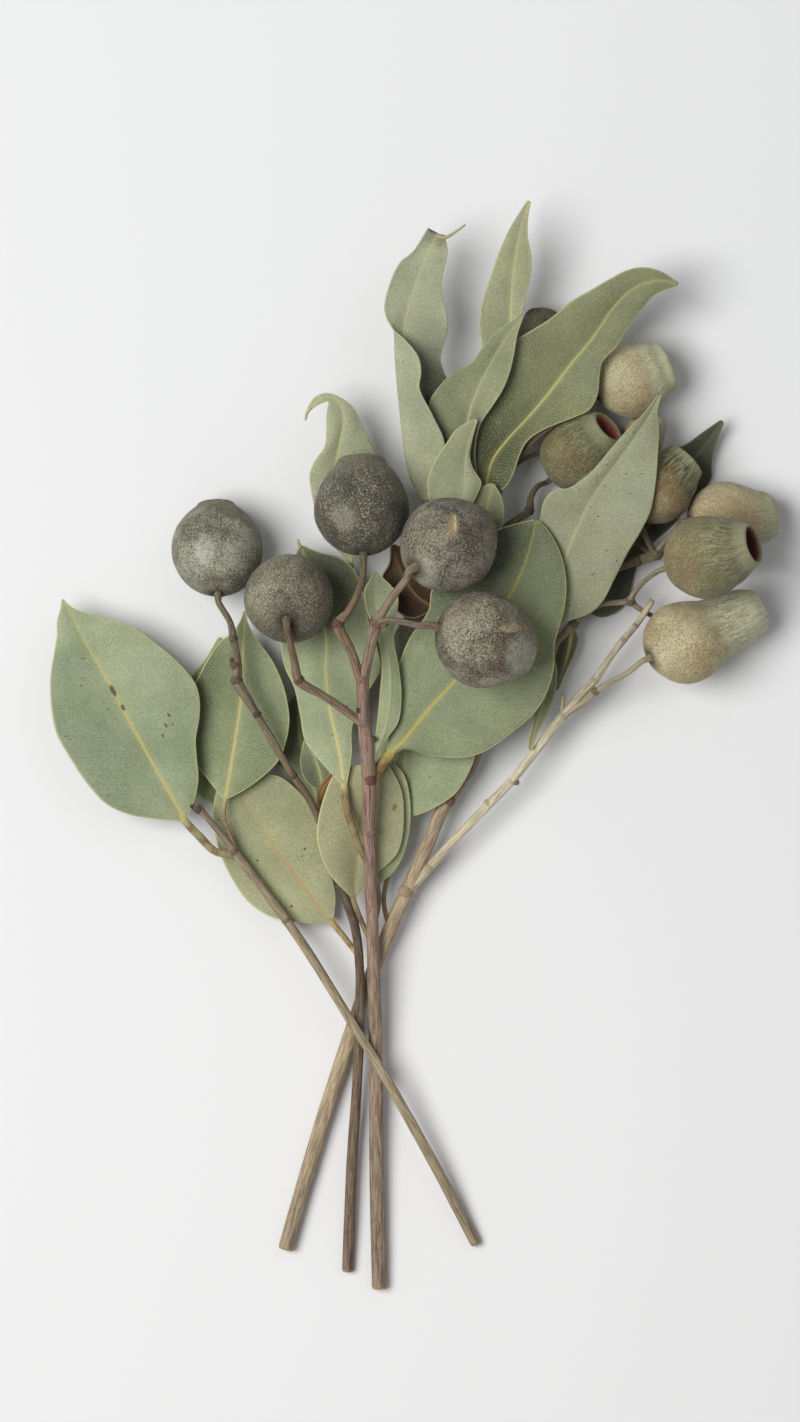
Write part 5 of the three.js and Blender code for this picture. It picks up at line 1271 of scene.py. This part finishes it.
def leaf_material(name, look, seed):
    """Dry waxy leaf: mottled green, fine grain, faint side veins, pale midrib and margin, brown specks."""
    p = Paint("leaf_" + name)
    place = p.place()
    spot = p.moved(place, 0.013 * seed, 0.007 * seed, 0)
    reach, out, rim = p.fact("reach"), p.fact("out"), p.fact("rim")
    share, stalk = p.fact("share"), p.fact("stalk")
    away = p.math("ABSOLUTE", out)
    slant = p.minus(reach, p.times(away, 0.62))
    slant = p.plus(slant, p.times(p.noise(spot, 220, 2, 0.5), 1.5))
    comb = p.math("SINE", p.times(slant, 2 * math.pi / look["vein_gap"]))
    fine = p.math("SINE", p.times(slant, 2 * math.pi / (0.41 * look["vein_gap"])))
    flat = p.node("CombineXYZ", {0: slant, 1: p.times(out, 0.75), 2: 0.0})
    flat = p.moved(flat, 0.37 * seed, 0.61 * seed, 0)
    net = p.step(p.cells(flat, 1.3, feature="DISTANCE_TO_EDGE"), 0.09, 0.0)
    speckle = p.noise(spot, 1500, 3, 0.65)
    sand = p.step(p.noise(spot, 2300, 2, 0.6), 0.56, 0.7)

    colour = leaf_ground(p, look, spot, share, out)
    colour = p.tinted(colour, p.step(comb, 0.35, 1.0), look["vein_share"], look["vein"])
    colour = p.tinted(colour, net, 0.13, look["vein"])
    colour = p.tinted(colour, p.step(speckle, 0.3, 0.7), 0.34, look["grain"], "MULTIPLY")
    colour = p.tinted(colour, sand, 0.36, look["dust"])
    colour = leaf_blemishes(p, look, spot, flat, rim, colour)
    colour = leaf_rib(p, look, away, share, colour)
    colour = leaf_scars(p, look, spot, reach, out, colour)
    colour = p.blend(stalk, colour, stalk_colour(p, look, place, spot, reach))

    ridges = p.times(p.plus(comb, p.times(fine, 0.5)), 0.14)
    relief = p.times(p.plus(ridges, p.times(net, 0.35)), p.step(rim, 0.4, 2.0))
    bump = p.bump(p.plus(relief, p.times(speckle, 0.5)), 0.16, 0.7)
    bump = p.bump(p.noise(spot, 300, 3, 0.6), 0.3, 0.5, bump)
    rough = p.step(p.noise(spot, 260, 3, 0.6), 0.3, 0.7, 0.56, 0.72)
    return p.finish(colour, rough, bump, 0.3, 0.06)


def pod_ground(p, look, spot):
    """Mottled dry wood with warm patches and frost."""
    patches = p.step(p.noise(spot, 62, 4, 0.62, 0.5), 0.4, 0.6)
    colour = p.blend(patches, linear(look["base"]), linear(look["other"]))
    warm = p.step(p.noise(p.moved(spot, 7, 3, 9), 48, 3, 0.6), 0.46, 0.66)
    colour = p.tinted(colour, warm, look["warm_share"], look["warm"])
    frost = p.step(p.noise(p.moved(spot, 3, 1, 2), 60, 5, 0.68, 0.3), 0.46, 0.66)
    return p.tinted(colour, frost, look["frost_share"], look["frost"])


def pod_neck(p, look, spot, necking, lanes, fibres, belt, colour):
    """The green neck, ragged where it leaves the body, with fibres, bold streaks and a paler rim."""
    neck_colour = p.blend(p.step(lanes, 0.42, 0.6), linear(look["neck"]), linear(look["neck_dark"]))
    ragged = p.plus(necking, p.times(p.minus(p.noise(spot, 110, 3, 0.6), 0.5), 0.9))
    up_neck = p.times(p.step(ragged, look["neck_from"], look["neck_to"]), look["neck_share"])
    colour = p.blend(up_neck, colour, neck_colour)
    colour = p.tinted(colour, p.times(p.step(fibres, 0.51, 0.62), belt), 0.75, look["stroke"])
    colour = p.tinted(colour, p.times(p.step(fibres, 0.48, 0.38), belt), 0.4, look["fleck"])
    bold = p.times(p.step(lanes, 0.53, 0.6), p.times(belt, look["bold"]))
    colour = p.blend(bold, colour, linear(look["stroke"]))
    return p.tinted(colour, p.step(necking, look["rim_from"], 1.0), look["rim_share"], look["rim"])


def pod_grain(p, look, spot, grain, necking, colour):
    """Dark grain and pale flecks, in worn patches and fewer up the neck."""
    fine = p.noise(spot, 1450, 3, 0.75)
    dark = p.math("MAXIMUM", p.step(fine, 0.5, 0.41), p.times(p.step(grain, 0.5, 0.38), 0.85))
    pale = p.step(fine, 0.53, 0.62)
    still = p.minus(1.0, p.times(necking, look["calm"]))
    worn = p.noise(p.moved(spot, 5, 8, 1), 75, 4, 0.62, 0.5)
    dark = p.times(p.times(dark, look["grain_share"]), still)
    pale = p.times(p.times(pale, look["fleck_share"]), still)
    dark = p.times(dark, p.step(worn, 0.6, 0.42, 0.6, 1.15), clamp=True)
    pale = p.times(pale, p.step(worn, 0.42, 0.6, 0.25, 1.2), clamp=True)
    colour = p.blend(dark, colour, linear(look["grain"]))
    return p.blend(pale, colour, linear(look["fleck"]))


def pod_marks(p, look, place, spot, colour):
    """Torn or rubbed patches on the side that looks up, each at one place."""
    height = p.node("SeparateXYZ", {0: place}, 2)
    for x, y, low, wide, tall, code, amount in look["marks"]:
        away = p.mapped(place, (1 / (wide * MM), 1 / (tall * MM), 0), (-x / wide, -y / tall, 0))
        away = p.node("VectorMath", {0: away}, "Value", operation="LENGTH")
        ragged = p.noise(p.mapped(spot, (1, 2.2, 1)), 420, 5, 0.75, 1.4)
        torn = p.step(p.plus(away, p.times(ragged, 1.3)), 1.85, 1.2)
        above = p.step(height, (low - 2) * MM, low * MM)
        scratches = p.noise(p.mapped(spot, (2.6, 0.8, 1)), 700, 3, 0.7, 0.6)
        shown = p.times(p.times(torn, above), p.step(scratches, 0.4, 0.56, 0.2, amount))
        colour = p.blend(shown, colour, linear(code))
    return colour


def pod_mouth(p, look, spot, colour):
    """Painted shade in the dimple at the stalk, and the red lip that deepens into the well."""
    colour = p.tinted(colour, p.fact("dimple"), 0.8, DIMPLE_SHADE)
    red = p.blend(p.fact("depth"), linear(look["lip"]), linear(look["well"]))
    red = p.tinted(red, p.step(p.noise(spot, 500, 3), 0.4, 0.65), 0.4, MOUTH_PATCHES)
    return p.blend(p.fact("inside"), colour, red)


def pod_material(name, look, seed):
    """Woody pod: grainy and frosted, with fibres along its axis, a streaked neck and a dark red mouth."""
    p = Paint("pod_" + name)
    place = p.place()
    spot = p.moved(place, 0.011 * seed, 0.017 * seed, 0.005 * seed)
    streak, necking = p.vector_fact("streak"), p.fact("necking")
    lanes = p.noise(p.mapped(streak, (4.2, 4.2, 0.05), (seed, 0, 0)), 2.6, 4, 0.65, 0.25)
    fibres = p.noise(p.mapped(streak, (9, 9, 0.1), (0, seed, 0)), 3.4, 3, 0.6, 0.15)
    belt = p.times(p.times(necking, p.minus(1.0, necking)), 4.0)
    belt = p.plus(p.times(belt, look["belt"]), look["fibre_share"], clamp=True)
    grain = p.noise(spot, 1250, 3, 0.7)
    pit = p.step(p.cells(p.moved(spot, 1, 5, 2), 700), 0.26, 0.12)
    rare_pit = p.step(p.cells(p.moved(spot, 4, 2, 6), 260), 0.13, 0.06)
    scar = p.step(p.noise(p.mapped(spot, (1, 1.7, 1), (2, 8, 4)), 62, 6, 0.75, 1.2), 0.69, 0.73)

    colour = pod_ground(p, look, spot)
    colour = pod_neck(p, look, spot, necking, lanes, fibres, belt, colour)
    colour = pod_grain(p, look, spot, grain, necking, colour)
    colour = p.tinted(colour, pit, 0.35, look["grain"])
    colour = p.tinted(colour, rare_pit, 0.6, look["grain"])
    colour = pod_marks(p, look, place, spot, colour)
    colour = p.tinted(colour, scar, 0.4, POD_SCAR)
    colour = pod_mouth(p, look, spot, colour)

    bump = p.bump(p.times(p.plus(lanes, p.times(fibres, 0.8)), belt), look["lane_depth"], 0.8)
    bump = p.bump(p.plus(grain, p.times(pit, -0.4)), 0.28, 0.75, bump)
    bump = p.bump(p.noise(spot, 260, 4, 0.6), 0.5, 0.6, bump)
    rough = p.step(grain, 0.35, 0.65, 0.68, 0.86)
    return p.finish(colour, rough, bump, 0.25, 0.08)


def bark_material():
    """Thin dry bark over each limb's own tint, with long streaks, cracks, pale dots and fresh cut ends."""
    p = Paint("bark")
    place, streak = p.place(), p.vector_fact("streak")
    long = p.noise(p.mapped(streak, (1.7, 1.7, 0.06)), 1.9, 5, 0.64, 0.3)
    fibres = p.noise(p.mapped(streak, (2.5, 2.5, 0.05)), 2.2, 4, 0.68, 0.35)
    colour = p.blend(1.0, p.vector_fact("tint"), p.step(long, 0.36, 0.64, 0.68, 1.32), "MULTIPLY")
    colour = p.tinted(colour, p.step(p.noise(place, 90, 3, 0.6), 0.45, 0.68), 0.25, "8b8573")
    crack_share = p.minus(0.75, p.times(p.fact("tone"), 0.5))
    colour = p.tinted(colour, p.step(fibres, 0.47, 0.4), crack_share, "40332c")
    colour = p.tinted(colour, p.step(fibres, 0.55, 0.66), 0.25, "b8ab98")
    colour = p.tinted(colour, p.step(p.cells(place, 420), 0.2, 0.1), 0.35, "b7a58a")
    colour = p.tinted(colour, p.step(p.noise(place, 340, 4, 0.7), 0.66, 0.74), 0.4, "6e4a38")
    wood = p.blend(p.step(p.noise(place, 900, 3), 0.4, 0.6), linear("cdb48a"), linear("a98c63"))
    colour = p.blend(p.fact("fresh"), colour, wood)
    bump = p.bump(p.plus(long, p.times(fibres, 0.8)), 0.55, 0.8)
    bump = p.bump(p.noise(place, 700, 4, 0.6), 0.2, 0.6, bump)
    rough = p.step(fibres, 0.3, 0.7, 0.62, 0.82)
    return p.finish(colour, rough, bump, 0.28)


# Looks

INK = "4a4036"
# What every leaf has unless its own look says otherwise. A shade is a stretch along the blade, a stretch from
# the midrib, how strong it is, and a tint; most are painted shade or painted highlights, a few the leaf's own
# tone. A scar is its place along and across, two sizes and a tint.
GREEN = {
    "wax": "a7ae92", "bloom": 0.3, "shade": [], "vein_gap": 1.25, "vein": "b4b896", "vein_share": 0.13,
    "grain": "6f7660", "dust": "c3c7ab", "specks": 0.2, "stain": 0.25, "scorch": 0.5, "margin": "c6c28c",
    "margin_share": 0.72, "rib": "b9b482", "core": "96905c", "rib_end": 0.35, "scars": [],
    "stalk": "9a9068", "stalk_dark": "7d6c50", "stalk_width": 1.25,
}
LEAF_LOOKS = {
    "leaf_left_large": {
        "base": "8a9874", "other": "a2ab86", "wax": "9fae96", "bloom": 0.45, "specks": 0.16, "scorch": 0.3,
        "vein_share": 0.2, "rib": "c6b976", "core": "a08a52", "stalk_width": 1.5,
        "shade": [
            ((0.93, 1.0), (0, 6), 0.7, "7a6a52"), (None, (-2, -18), 0.35, "7a8b70"),
            ((0.3, 0.0), None, 0.3, "a3ac80"),
        ],
        "scars": [
            (53.3, 0.0, 2.9, 1.1, INK), (46.3, 0.3, 1.5, 0.9, INK), (36.9, 13.7, 1.1, 0.5, INK),
            (34.1, 11.0, 1.2, 0.5, INK), (31.0, 8.2, 1.0, 0.4, INK),
        ],
    },
    "leaf_left_pointed": {
        "base": "7a8760", "other": "8a946c", "specks": 0.1, "vein_share": 0.2, "rib": "c9be7c",
        "stalk": "8e7c5c", "stalk_dark": "7d6350", "stalk_width": 1.0,
        # The dark band along the left half is painted shadow of the large leaf over it.
        "shade": [(None, (-4, -15), 0.8, "454f33"), ((0.75, 0.2), (2, 12), 0.35, "66734c")],
    },
    "leaf_left_back": {"base": "839465", "other": "90a06f"},
    "leaf_low_left": {
        "base": "a4a67d", "other": "b3b386", "specks": 0.24, "rib": "b89c68", "core": "8e744a",
        "stain": 0.4, "shade": [((0.62, 0.95), None, 0.35, "7c8462")], "stalk": "b29e74",
        "stalk_dark": "8f7450",
        "scars": [(14.3, -7.9, 0.6, 0.6, INK), (33.1, -8.0, 0.5, 0.5, INK), (26.8, 8.5, 0.6, 0.5, INK)],
    },
    "leaf_low_middle": {
        "base": "a4a47d", "other": "b2b085", "specks": 0.4, "rib": "94865f", "stain": 0.5,
        "stalk": "8d7a5a", "stalk_dark": "735c48", "scars": [(35.6, 10.9, 1.5, 1.0, "8a6a5c")],
    },
    "leaf_low_middle_back": {"base": "9fac7e", "other": "aab486", "specks": 0.3},
    "leaf_middle_long": {
        "base": "9da882", "other": "aeb58a", "rib": "cfc888", "stalk": "8d8058", "stalk_dark": "83684e",
        # The dark upper stretch is painted shade under the pods.
        "shade": [((0.5, 0.76), None, 0.8, "474d38")], "scars": [(26.9, 6.4, 0.7, 0.7, INK)],
    },
    "leaf_middle_narrow": {
        "base": "a6b28e", "other": "b2ba8f", "rib": "b0b88e",
        "shade": [((0.3, 0.6), (-1, -5), 0.6, "5f6a4c")],
    },
    "leaf_centre_broad": {
        "base": "8c9772", "other": "9aa27a", "bloom": 0.35, "rib": "c6b964", "core": "8e8448",
        "margin": "d2cd8c", "specks": 0.08, "vein_gap": 1.5, "rib_end": 0.6, "stalk": "a08a58",
        "stalk_dark": "7a623e", "stalk_width": 1.5,
        # The darker stretches are painted shade: the upper part, and the part between the two pods above it.
        "shade": [
            ((0.6, 0.9), None, 0.6, "57634a"), (None, (8, 26), 0.3, "6b7856"),
            ((0.42, 0.66), (-1, -11), 0.88, "3c4433"),
        ],
    },
    "leaf_centre_back": {
        # The dark upper stretch is painted shade in the gap between the leaves.
        "base": "98a47e", "other": "a6af86", "specks": 0.35, "shade": [((0.4, 0.68), None, 0.85, "3a3f2f")],
    },
    "leaf_brown_curled": {
        "base": "453424", "other": "634a32", "wax": "836849", "rib": "74583c", "margin": "b39a72",
        "vein": "6f573f", "grain": "7a6a5c", "specks": 0.05, "dust": "8a745a",
    },
    "leaf_right_tall": {
        "base": "90957a", "other": "9d9f80", "specks": 0.6, "rib": "b7b18c", "bloom": 0.4,
        "margin_share": 0.5,
        "shade": [
            (None, (3, 16), 0.25, "c2c4a8"), ((0.45, 0.1), (0, -10), 0.6, "6a7358"),
            ((0.75, 1.0), None, 0.35, "737b5e"),
        ],
    },
    "leaf_right_back": {
        # Its dark colours are painted shade, for where it lies under the pods and leaves.
        "base": "4a5140", "other": "575d48", "wax": "66695a", "rib": "7c8060", "margin": "6f7454",
        "vein": "5f6848", "dust": "6c745c",
    },
    "leaf_right_hanging": {
        "base": "4c4d38", "other": "585840", "wax": "62624c", "margin": "8a8c66", "vein": "6c6c50",
        "dust": "74745c",
    },
    "leaf_right_twisted": {"base": "76805e", "other": "878f68", "margin": "b9b584", "scorch": 0.8},
    "leaf_top_folded": {
        "base": "afb394", "other": "b9bc98", "rib": "c3bf92", "margin": "b9bd94", "margin_share": 0.45,
        # The dark stretch on the right half is painted shade inside the fold.
        "shade": [
            ((0.74, 0.42), (0, 8), 0.95, "454b38"), (None, (-4, -13), 0.3, "848b6c"),
            ((0.93, 1.0), None, 0.7, "6f6c54"),
        ],
    },
    "leaf_top_narrow": {"base": "9a9f7c", "other": "a8aa82", "rib": "c9c28a", "margin_share": 0.5},
    "leaf_top_middle": {
        "base": "868c69", "other": "969973", "rib": "aeb088", "margin": "b9bb90", "margin_share": 0.45,
        # The darker base is painted shade.
        "shade": [((0.5, 0.1), None, 0.75, "474d36"), (None, (-2, -10), 0.35, "676d4e")],
    },
    "leaf_top_small": {
        "base": "a2a885", "other": "b0b28c", "rib": "aeb088", "margin_share": 0.5,
        "shade": [((0.8, 0.2), (0, 5), 0.6, "737a5c")],
    },
    "leaf_top_long": {
        "base": "767c55", "other": "84875f", "rib": "c0bb74", "margin": "c9c68a", "margin_share": 0.5,
        "bloom": 0.25, "stain": 0.3,
        # Painted shade darkens the base, and a painted highlight lightens the middle of the blade.
        "shade": [
            ((0.46, 0.1), None, 0.9, "454b2a"), ((0.42, 0.66), None, 0.55, "898d68"),
            ((0.7, 0.3), (-3, -12), 0.4, "575d38"),
        ],
    },
    "leaf_top_bud": {"base": "868a60", "other": "95956a", "margin_share": 0.5},
    "leaf_upper_left": {
        "base": "a8ac8c", "other": "b4b692", "rib": "cbc48e", "margin_share": 0.4,
        "shade": [((0.5, 0.9), (1, 7), 0.4, "868c6c")],
    },
    # The dark colours of this leaf are painted shade, for where it lies in the gap under the others.
    "leaf_inner_dark": {"base": "5c6849", "other": "697354", "margin_share": 0.4},
    "leaf_inner_small": {"base": "6b7756", "other": "788260"},
    "bract_brown": {
        "base": "5f3c24", "other": "74502f", "wax": "8a6444", "rib": "96703f", "margin": "a88450",
        "vein": "b07a48", "grain": "8a6a50", "dust": "b08a60",
    },
}

# What every pod has unless its own look says otherwise. A mark is a patch about x and y, on the skin above a
# height, with its two sizes, a tint and how strong it is.
WOODY = {
    "neck_from": 0.05, "neck_to": 0.6, "belt": 0.6, "bold": 0.2, "rim_from": 0.8, "rim": "b3b294",
    "rim_share": 0.35, "lip": "8f5048", "well": "2c110d", "lane_depth": 0.4, "marks": [],
}
GREY = {
    **WOODY, "frost_share": 0.55, "neck": "8b8774", "neck_dark": "6a6656", "neck_share": 0.35,
    "grain": "36322b", "grain_share": 0.72, "fleck": "b3b2a2", "fleck_share": 0.6, "warm": "857160",
    "warm_share": 0.3, "rim": "857f62", "rim_share": 0.4, "stroke": "48443a", "belt": 0.25,
    "fibre_share": 0.3, "calm": 0.3,
}
TAN = {
    **WOODY, "frost": "a3a586", "frost_share": 0.35, "neck": "a9ab8d", "neck_dark": "8f9173",
    "neck_share": 0.85, "neck_to": 0.55, "grain": "6b5a3e", "grain_share": 0.45, "fleck": "cdc3a4",
    "fleck_share": 0.35, "warm": "a58560", "warm_share": 0.5, "stroke": "69684c", "fibre_share": 0.2,
    "calm": 0.75,
}
POD_LOOKS = {
    "pod_left": {
        **GREY, "base": "6e6c59", "other": "a5a38f", "frost": "a9ad9b", "rim": "6e6a50", "rim_share": 0.6,
        "rim_from": 0.6, "marks": [(-75.5, 71, 20, 4, 6, "bdc0b1", 0.6)],
    },
    "pod_left_inner": {**GREY, "base": "66604f", "other": "857e68", "frost": "969379"},
    "pod_upper_left": {
        **GREY, "base": "38352b", "other": "615c49", "frost": "807f6b", "frost_share": 0.45,
        "rim": "79745a", "rim_share": 0.6, "rim_from": 0.55, "warm": "6a5c50",
        "marks": [(-26, 82, 50, 5, 5.5, "9c9b89", 0.55)],
    },
    "pod_upper_middle": {
        **GREY, "base": "544e43", "other": "8f8876", "fleck_share": 0.42, "grain_share": 0.9,
        "frost": "b0ac97", "warm": "8a7464", "warm_share": 0.4,
        "marks": [
            (13.2, 79, 52, 2.2, 4.6, "9c8862", 0.85), (13.8, 79.8, 52, 0.7, 3.6, "cdb88e", 0.9),
            (2.6, 62, 45, 6, 7, "a5a796", 0.6),
        ],
    },
    "pod_centre": {
        **GREY, "base": "615846", "other": "978e78", "fleck_share": 0.42, "grain_share": 0.9,
        "frost": "b2af9a", "frost_share": 0.6, "warm": "8d745c", "warm_share": 0.45,
        "marks": [
            (33.5, 42.4, 52, 4.4, 1.7, "b5a685", 0.8), (25.6, 23.6, 40, 3.6, 1.6, "b0a283", 0.7),
            (37, 33, 44, 6, 7, "a7aa9a", 0.7),
        ],
    },
    "pod_top_right": {
        **TAN, "base": "b2a480", "other": "c3ba96", "warm": "b5986c", "warm_share": 0.35, "neck": "babd9c",
        "neck_dark": "a9ad8e", "belt": 0.2, "bold": 0.0, "lane_depth": 0.2, "frost": "b6b896",
        "frost_share": 0.55,
    },
    "pod_top_inner": {
        **TAN, "base": "625838", "other": "716845", "neck": "707653", "neck_dark": "53593b",
        "stroke": "4b4e35", "warm": "7c6140", "rim": "a4a886", "rim_share": 0.5, "lip": "9c544c",
        "well": "3c1614", "neck_from": -0.1,
    },
    "pod_top_hidden": {
        **TAN, "base": "56523e", "other": "655f49", "neck": "5a5a44", "neck_dark": "3e3e2e",
        "warm": "5e4c38", "fleck": "8a8468", "frost": "5c5c48", "rim_share": 0.0, "stroke": "33332a",
    },
    "pod_right_inner": {
        # Its dark base colours are painted shadow of the tall leaf beside it.
        **TAN, "base": "6a5c3e", "other": "7f734f", "neck": "9a9b76", "neck_dark": "6c6e4e",
        "neck_share": 0.95, "stroke": "3e3e28", "belt": 0.85, "bold": 0.95, "warm": "8d7048",
        "lane_depth": 0.8,
    },
    "pod_right_small": {**TAN, "base": "a08f70", "other": "b09c7c"},
    "pod_right_upper": {
        **TAN, "base": "a39372", "other": "b8a985", "warm": "a58358", "warm_share": 0.45, "frost": "b0ab88",
        "frost_share": 0.5, "neck": "aeb092", "neck_dark": "989c7c", "neck_from": 0.3, "neck_to": 0.8,
        "belt": 0.35,
    },
    "pod_right_middle": {
        **TAN, "base": "706a4b", "other": "827b59", "neck": "7c7f5e", "neck_dark": "626649",
        "warm": "967a52", "warm_share": 0.4, "lip": "5c2e28", "well": "1d0d0b", "belt": 0.8,
        "neck_from": -0.15, "neck_to": 0.45, "stroke": "565c3e",
    },
    "pod_right_lower": {
        **TAN, "base": "b5a781", "other": "cabe98", "neck": "d2d5b8", "neck_dark": "b5b898",
        "frost": "c8cba8", "frost_share": 0.5, "warm": "c09c6c", "warm_share": 0.45, "grain": "75603f",
        "grain_share": 0.6, "neck_from": 0.12, "neck_to": 0.45,
    },
}

# Lumps of bark on each branch: x, y, z, size and tint.
KNOBS = {
    "branch_left_leafy": [
        (-78.4, -22.2, 15.5, 1.7, "5c4f46"), (-80.2, -21.2, 15.5, 1.1, "54483f"),
        (-46.5, -62.5, 12.6, 1.8, "8f7e6a"), (-65.4, -37.6, 13.2, 1.8, "82715f"),
    ],
    "branch_left_pods": [
        (-64.2, 24, 25.2, 2.2, "6a594e"), (-64.8, 29.4, 25.4, 1.8, "726053"),
        (-65.4, 39, 24.5, 1.6, "6a5b4f"), (-44, -10, 22.2, 1.6, "655449"), (-57, 12, 24.8, 1.6, "5f4e44"),
        (-65.6, 31.2, 25.2, 1.2, "655449"),
    ],
    "branch_main": [
        (-16.3, -11.5, 30.8, 2.3, "7a4a3e"), (-19, 24.4, 37.2, 2.4, "90776a"),
        (-27.7, 44.2, 40.2, 2.3, "6f5148"), (-14, 44.6, 41.2, 2.6, "82665a"),
        (-41.6, 24.2, 39.2, 2.0, "6b544c"), (-18.4, 9, 34.4, 2.3, "907a6c"),
        (-15.2, 3, 32.6, 1.3, "6b5450"), (-16.2, -30, 25.2, 2.4, "937c6c"),
        (-20.2, 13.4, 36, 1.1, "4f3e38"), (-11.2, 44.4, 42, 1.7, "8c6a5c"),
    ],
    "branch_right": [
        (-3.6, -52, 9.8, 2.7, "b5a084"), (26.2, -20.2, 12.2, 1.65, "cabf9f"),
        (34.5, -12.2, 12.7, 1.6, "d2c7a9"), (36.4, -12.6, 13, 1.1, "8c8068"),
        (53.2, 11.4, 14.2, 1.75, "c8bd9c"), (64.8, 20.2, 16.8, 1.6, "8c8468"),
        (64.6, 24.2, 14.8, 1.45, "c8be9e"), (75, 38.8, 14.8, 1.35, "b8ae90"),
        (79.4, 44, 14.9, 1.2, "a99e82"), (57, 44.6, 14.2, 1.9, "746853"), (77.4, 52.8, 13.8, 1.9, "746c58"),
        (87, 69.8, 13.2, 2.4, "6b6350"), (80, 67.2, 12.6, 2.0, "685f4c"), (41, 85.4, 13, 1.9, "5e5442"),
        (28.4, 72, 18.8, 2.3, "6b5a50"), (27, 86, 20.2, 2.5, "6b5a50"), (12, -19, 12, 2.3, "80695c"),
        (4.6, -43.8, 10.6, 1.8, "cbbb9c"),
    ],
}

# Pieces

BARK = bark_material()
for number, (name, pod) in enumerate(PODS.items()):
    dress_pod(name, pod, POD_LOOKS[name], POD_SEED + 2 * number)
for number, (name, leaf) in enumerate(LEAVES.items()):
    dress_leaf(name, leaf, {**GREEN, **LEAF_LOOKS[name]}, LEAF_SEED + 3 * number)
for number, (name, limbs) in enumerate(BRANCHES.items()):
    dress_branch(name, limbs, KNOBS[name], BRANCH_SEED + 7 * number)

# Floor

HALF_FLOOR = 4.0
floor_mesh = bpy.data.meshes.new("floor")
corners = [(x * HALF_FLOOR, y * HALF_FLOOR, 0) for x, y in ((-1, -1), (1, -1), (1, 1), (-1, 1))]
floor_mesh.from_pydata(corners, [], [(0, 1, 2, 3)])
floor = bpy.data.objects.new("floor", floor_mesh)
bpy.context.scene.collection.objects.link(floor)
paper = Paint("floor")
shade = paper.step(paper.noise(paper.place(), 1.4), 0.3, 0.7)
tint = paper.blend(shade, linear("e7e8e9"), linear("ebebeb"))
floor_mesh.materials.append(paper.finish(tint, 0.9, None, 0.1))

# Light

SKY = (0.97, 0.98, 1.0, 1.0)
SKY_STRENGTH = 0.26


def soft_light(name, place, size, watts, colour):
    """A round soft light, aimed at the middle of the bunch."""
    data = bpy.data.lights.new(name, "AREA")
    data.shape = "DISK"
    data.size = size
    data.energy = watts
    data.color = colour
    lamp = bpy.data.objects.new(name, data)
    lamp.location = place
    x, y, z = place
    lamp.rotation_euler = (math.atan2(math.hypot(x, y), z), 0, math.atan2(-x, y) + math.pi)
    bpy.context.scene.collection.objects.link(lamp)


soft_light("key", (-1.15, 0.1, 2.05), 1.6, 52, (1.0, 0.992, 0.98))
soft_light("fill", (1.2, 0.9, 2.0), 2.0, 3.2, (0.98, 0.99, 1.0))
world = bpy.data.worlds.new("studio")
bpy.context.scene.world = world
world.use_nodes = True
sky = world.node_tree.nodes["Background"].inputs
sky["Color"].default_value = SKY
sky["Strength"].default_value = SKY_STRENGTH
bpy.context.scene.view_settings.view_transform = "Standard"

# Camera

PHOTO_PIXEL = 0.36 * MM
FRAME_HEIGHT = 1422 * PHOTO_PIXEL
SENSOR_WIDTH = 36
AIM = (-5.58 * MM, 13.14 * MM)
LEAF_LEVEL = 18 * MM
CAMERA_HEIGHT = 2.5
FARTHEST_SEEN = 30

camera_data = bpy.data.cameras.new("camera")
camera_data.sensor_width = SENSOR_WIDTH
camera_data.lens = SENSOR_WIDTH * CAMERA_HEIGHT / FRAME_HEIGHT
camera_data.clip_end = FARTHEST_SEEN
camera = bpy.data.objects.new("camera", camera_data)
camera.location = (*AIM, LEAF_LEVEL + CAMERA_HEIGHT)
bpy.context.scene.collection.objects.link(camera)
bpy.context.scene.camera = camera
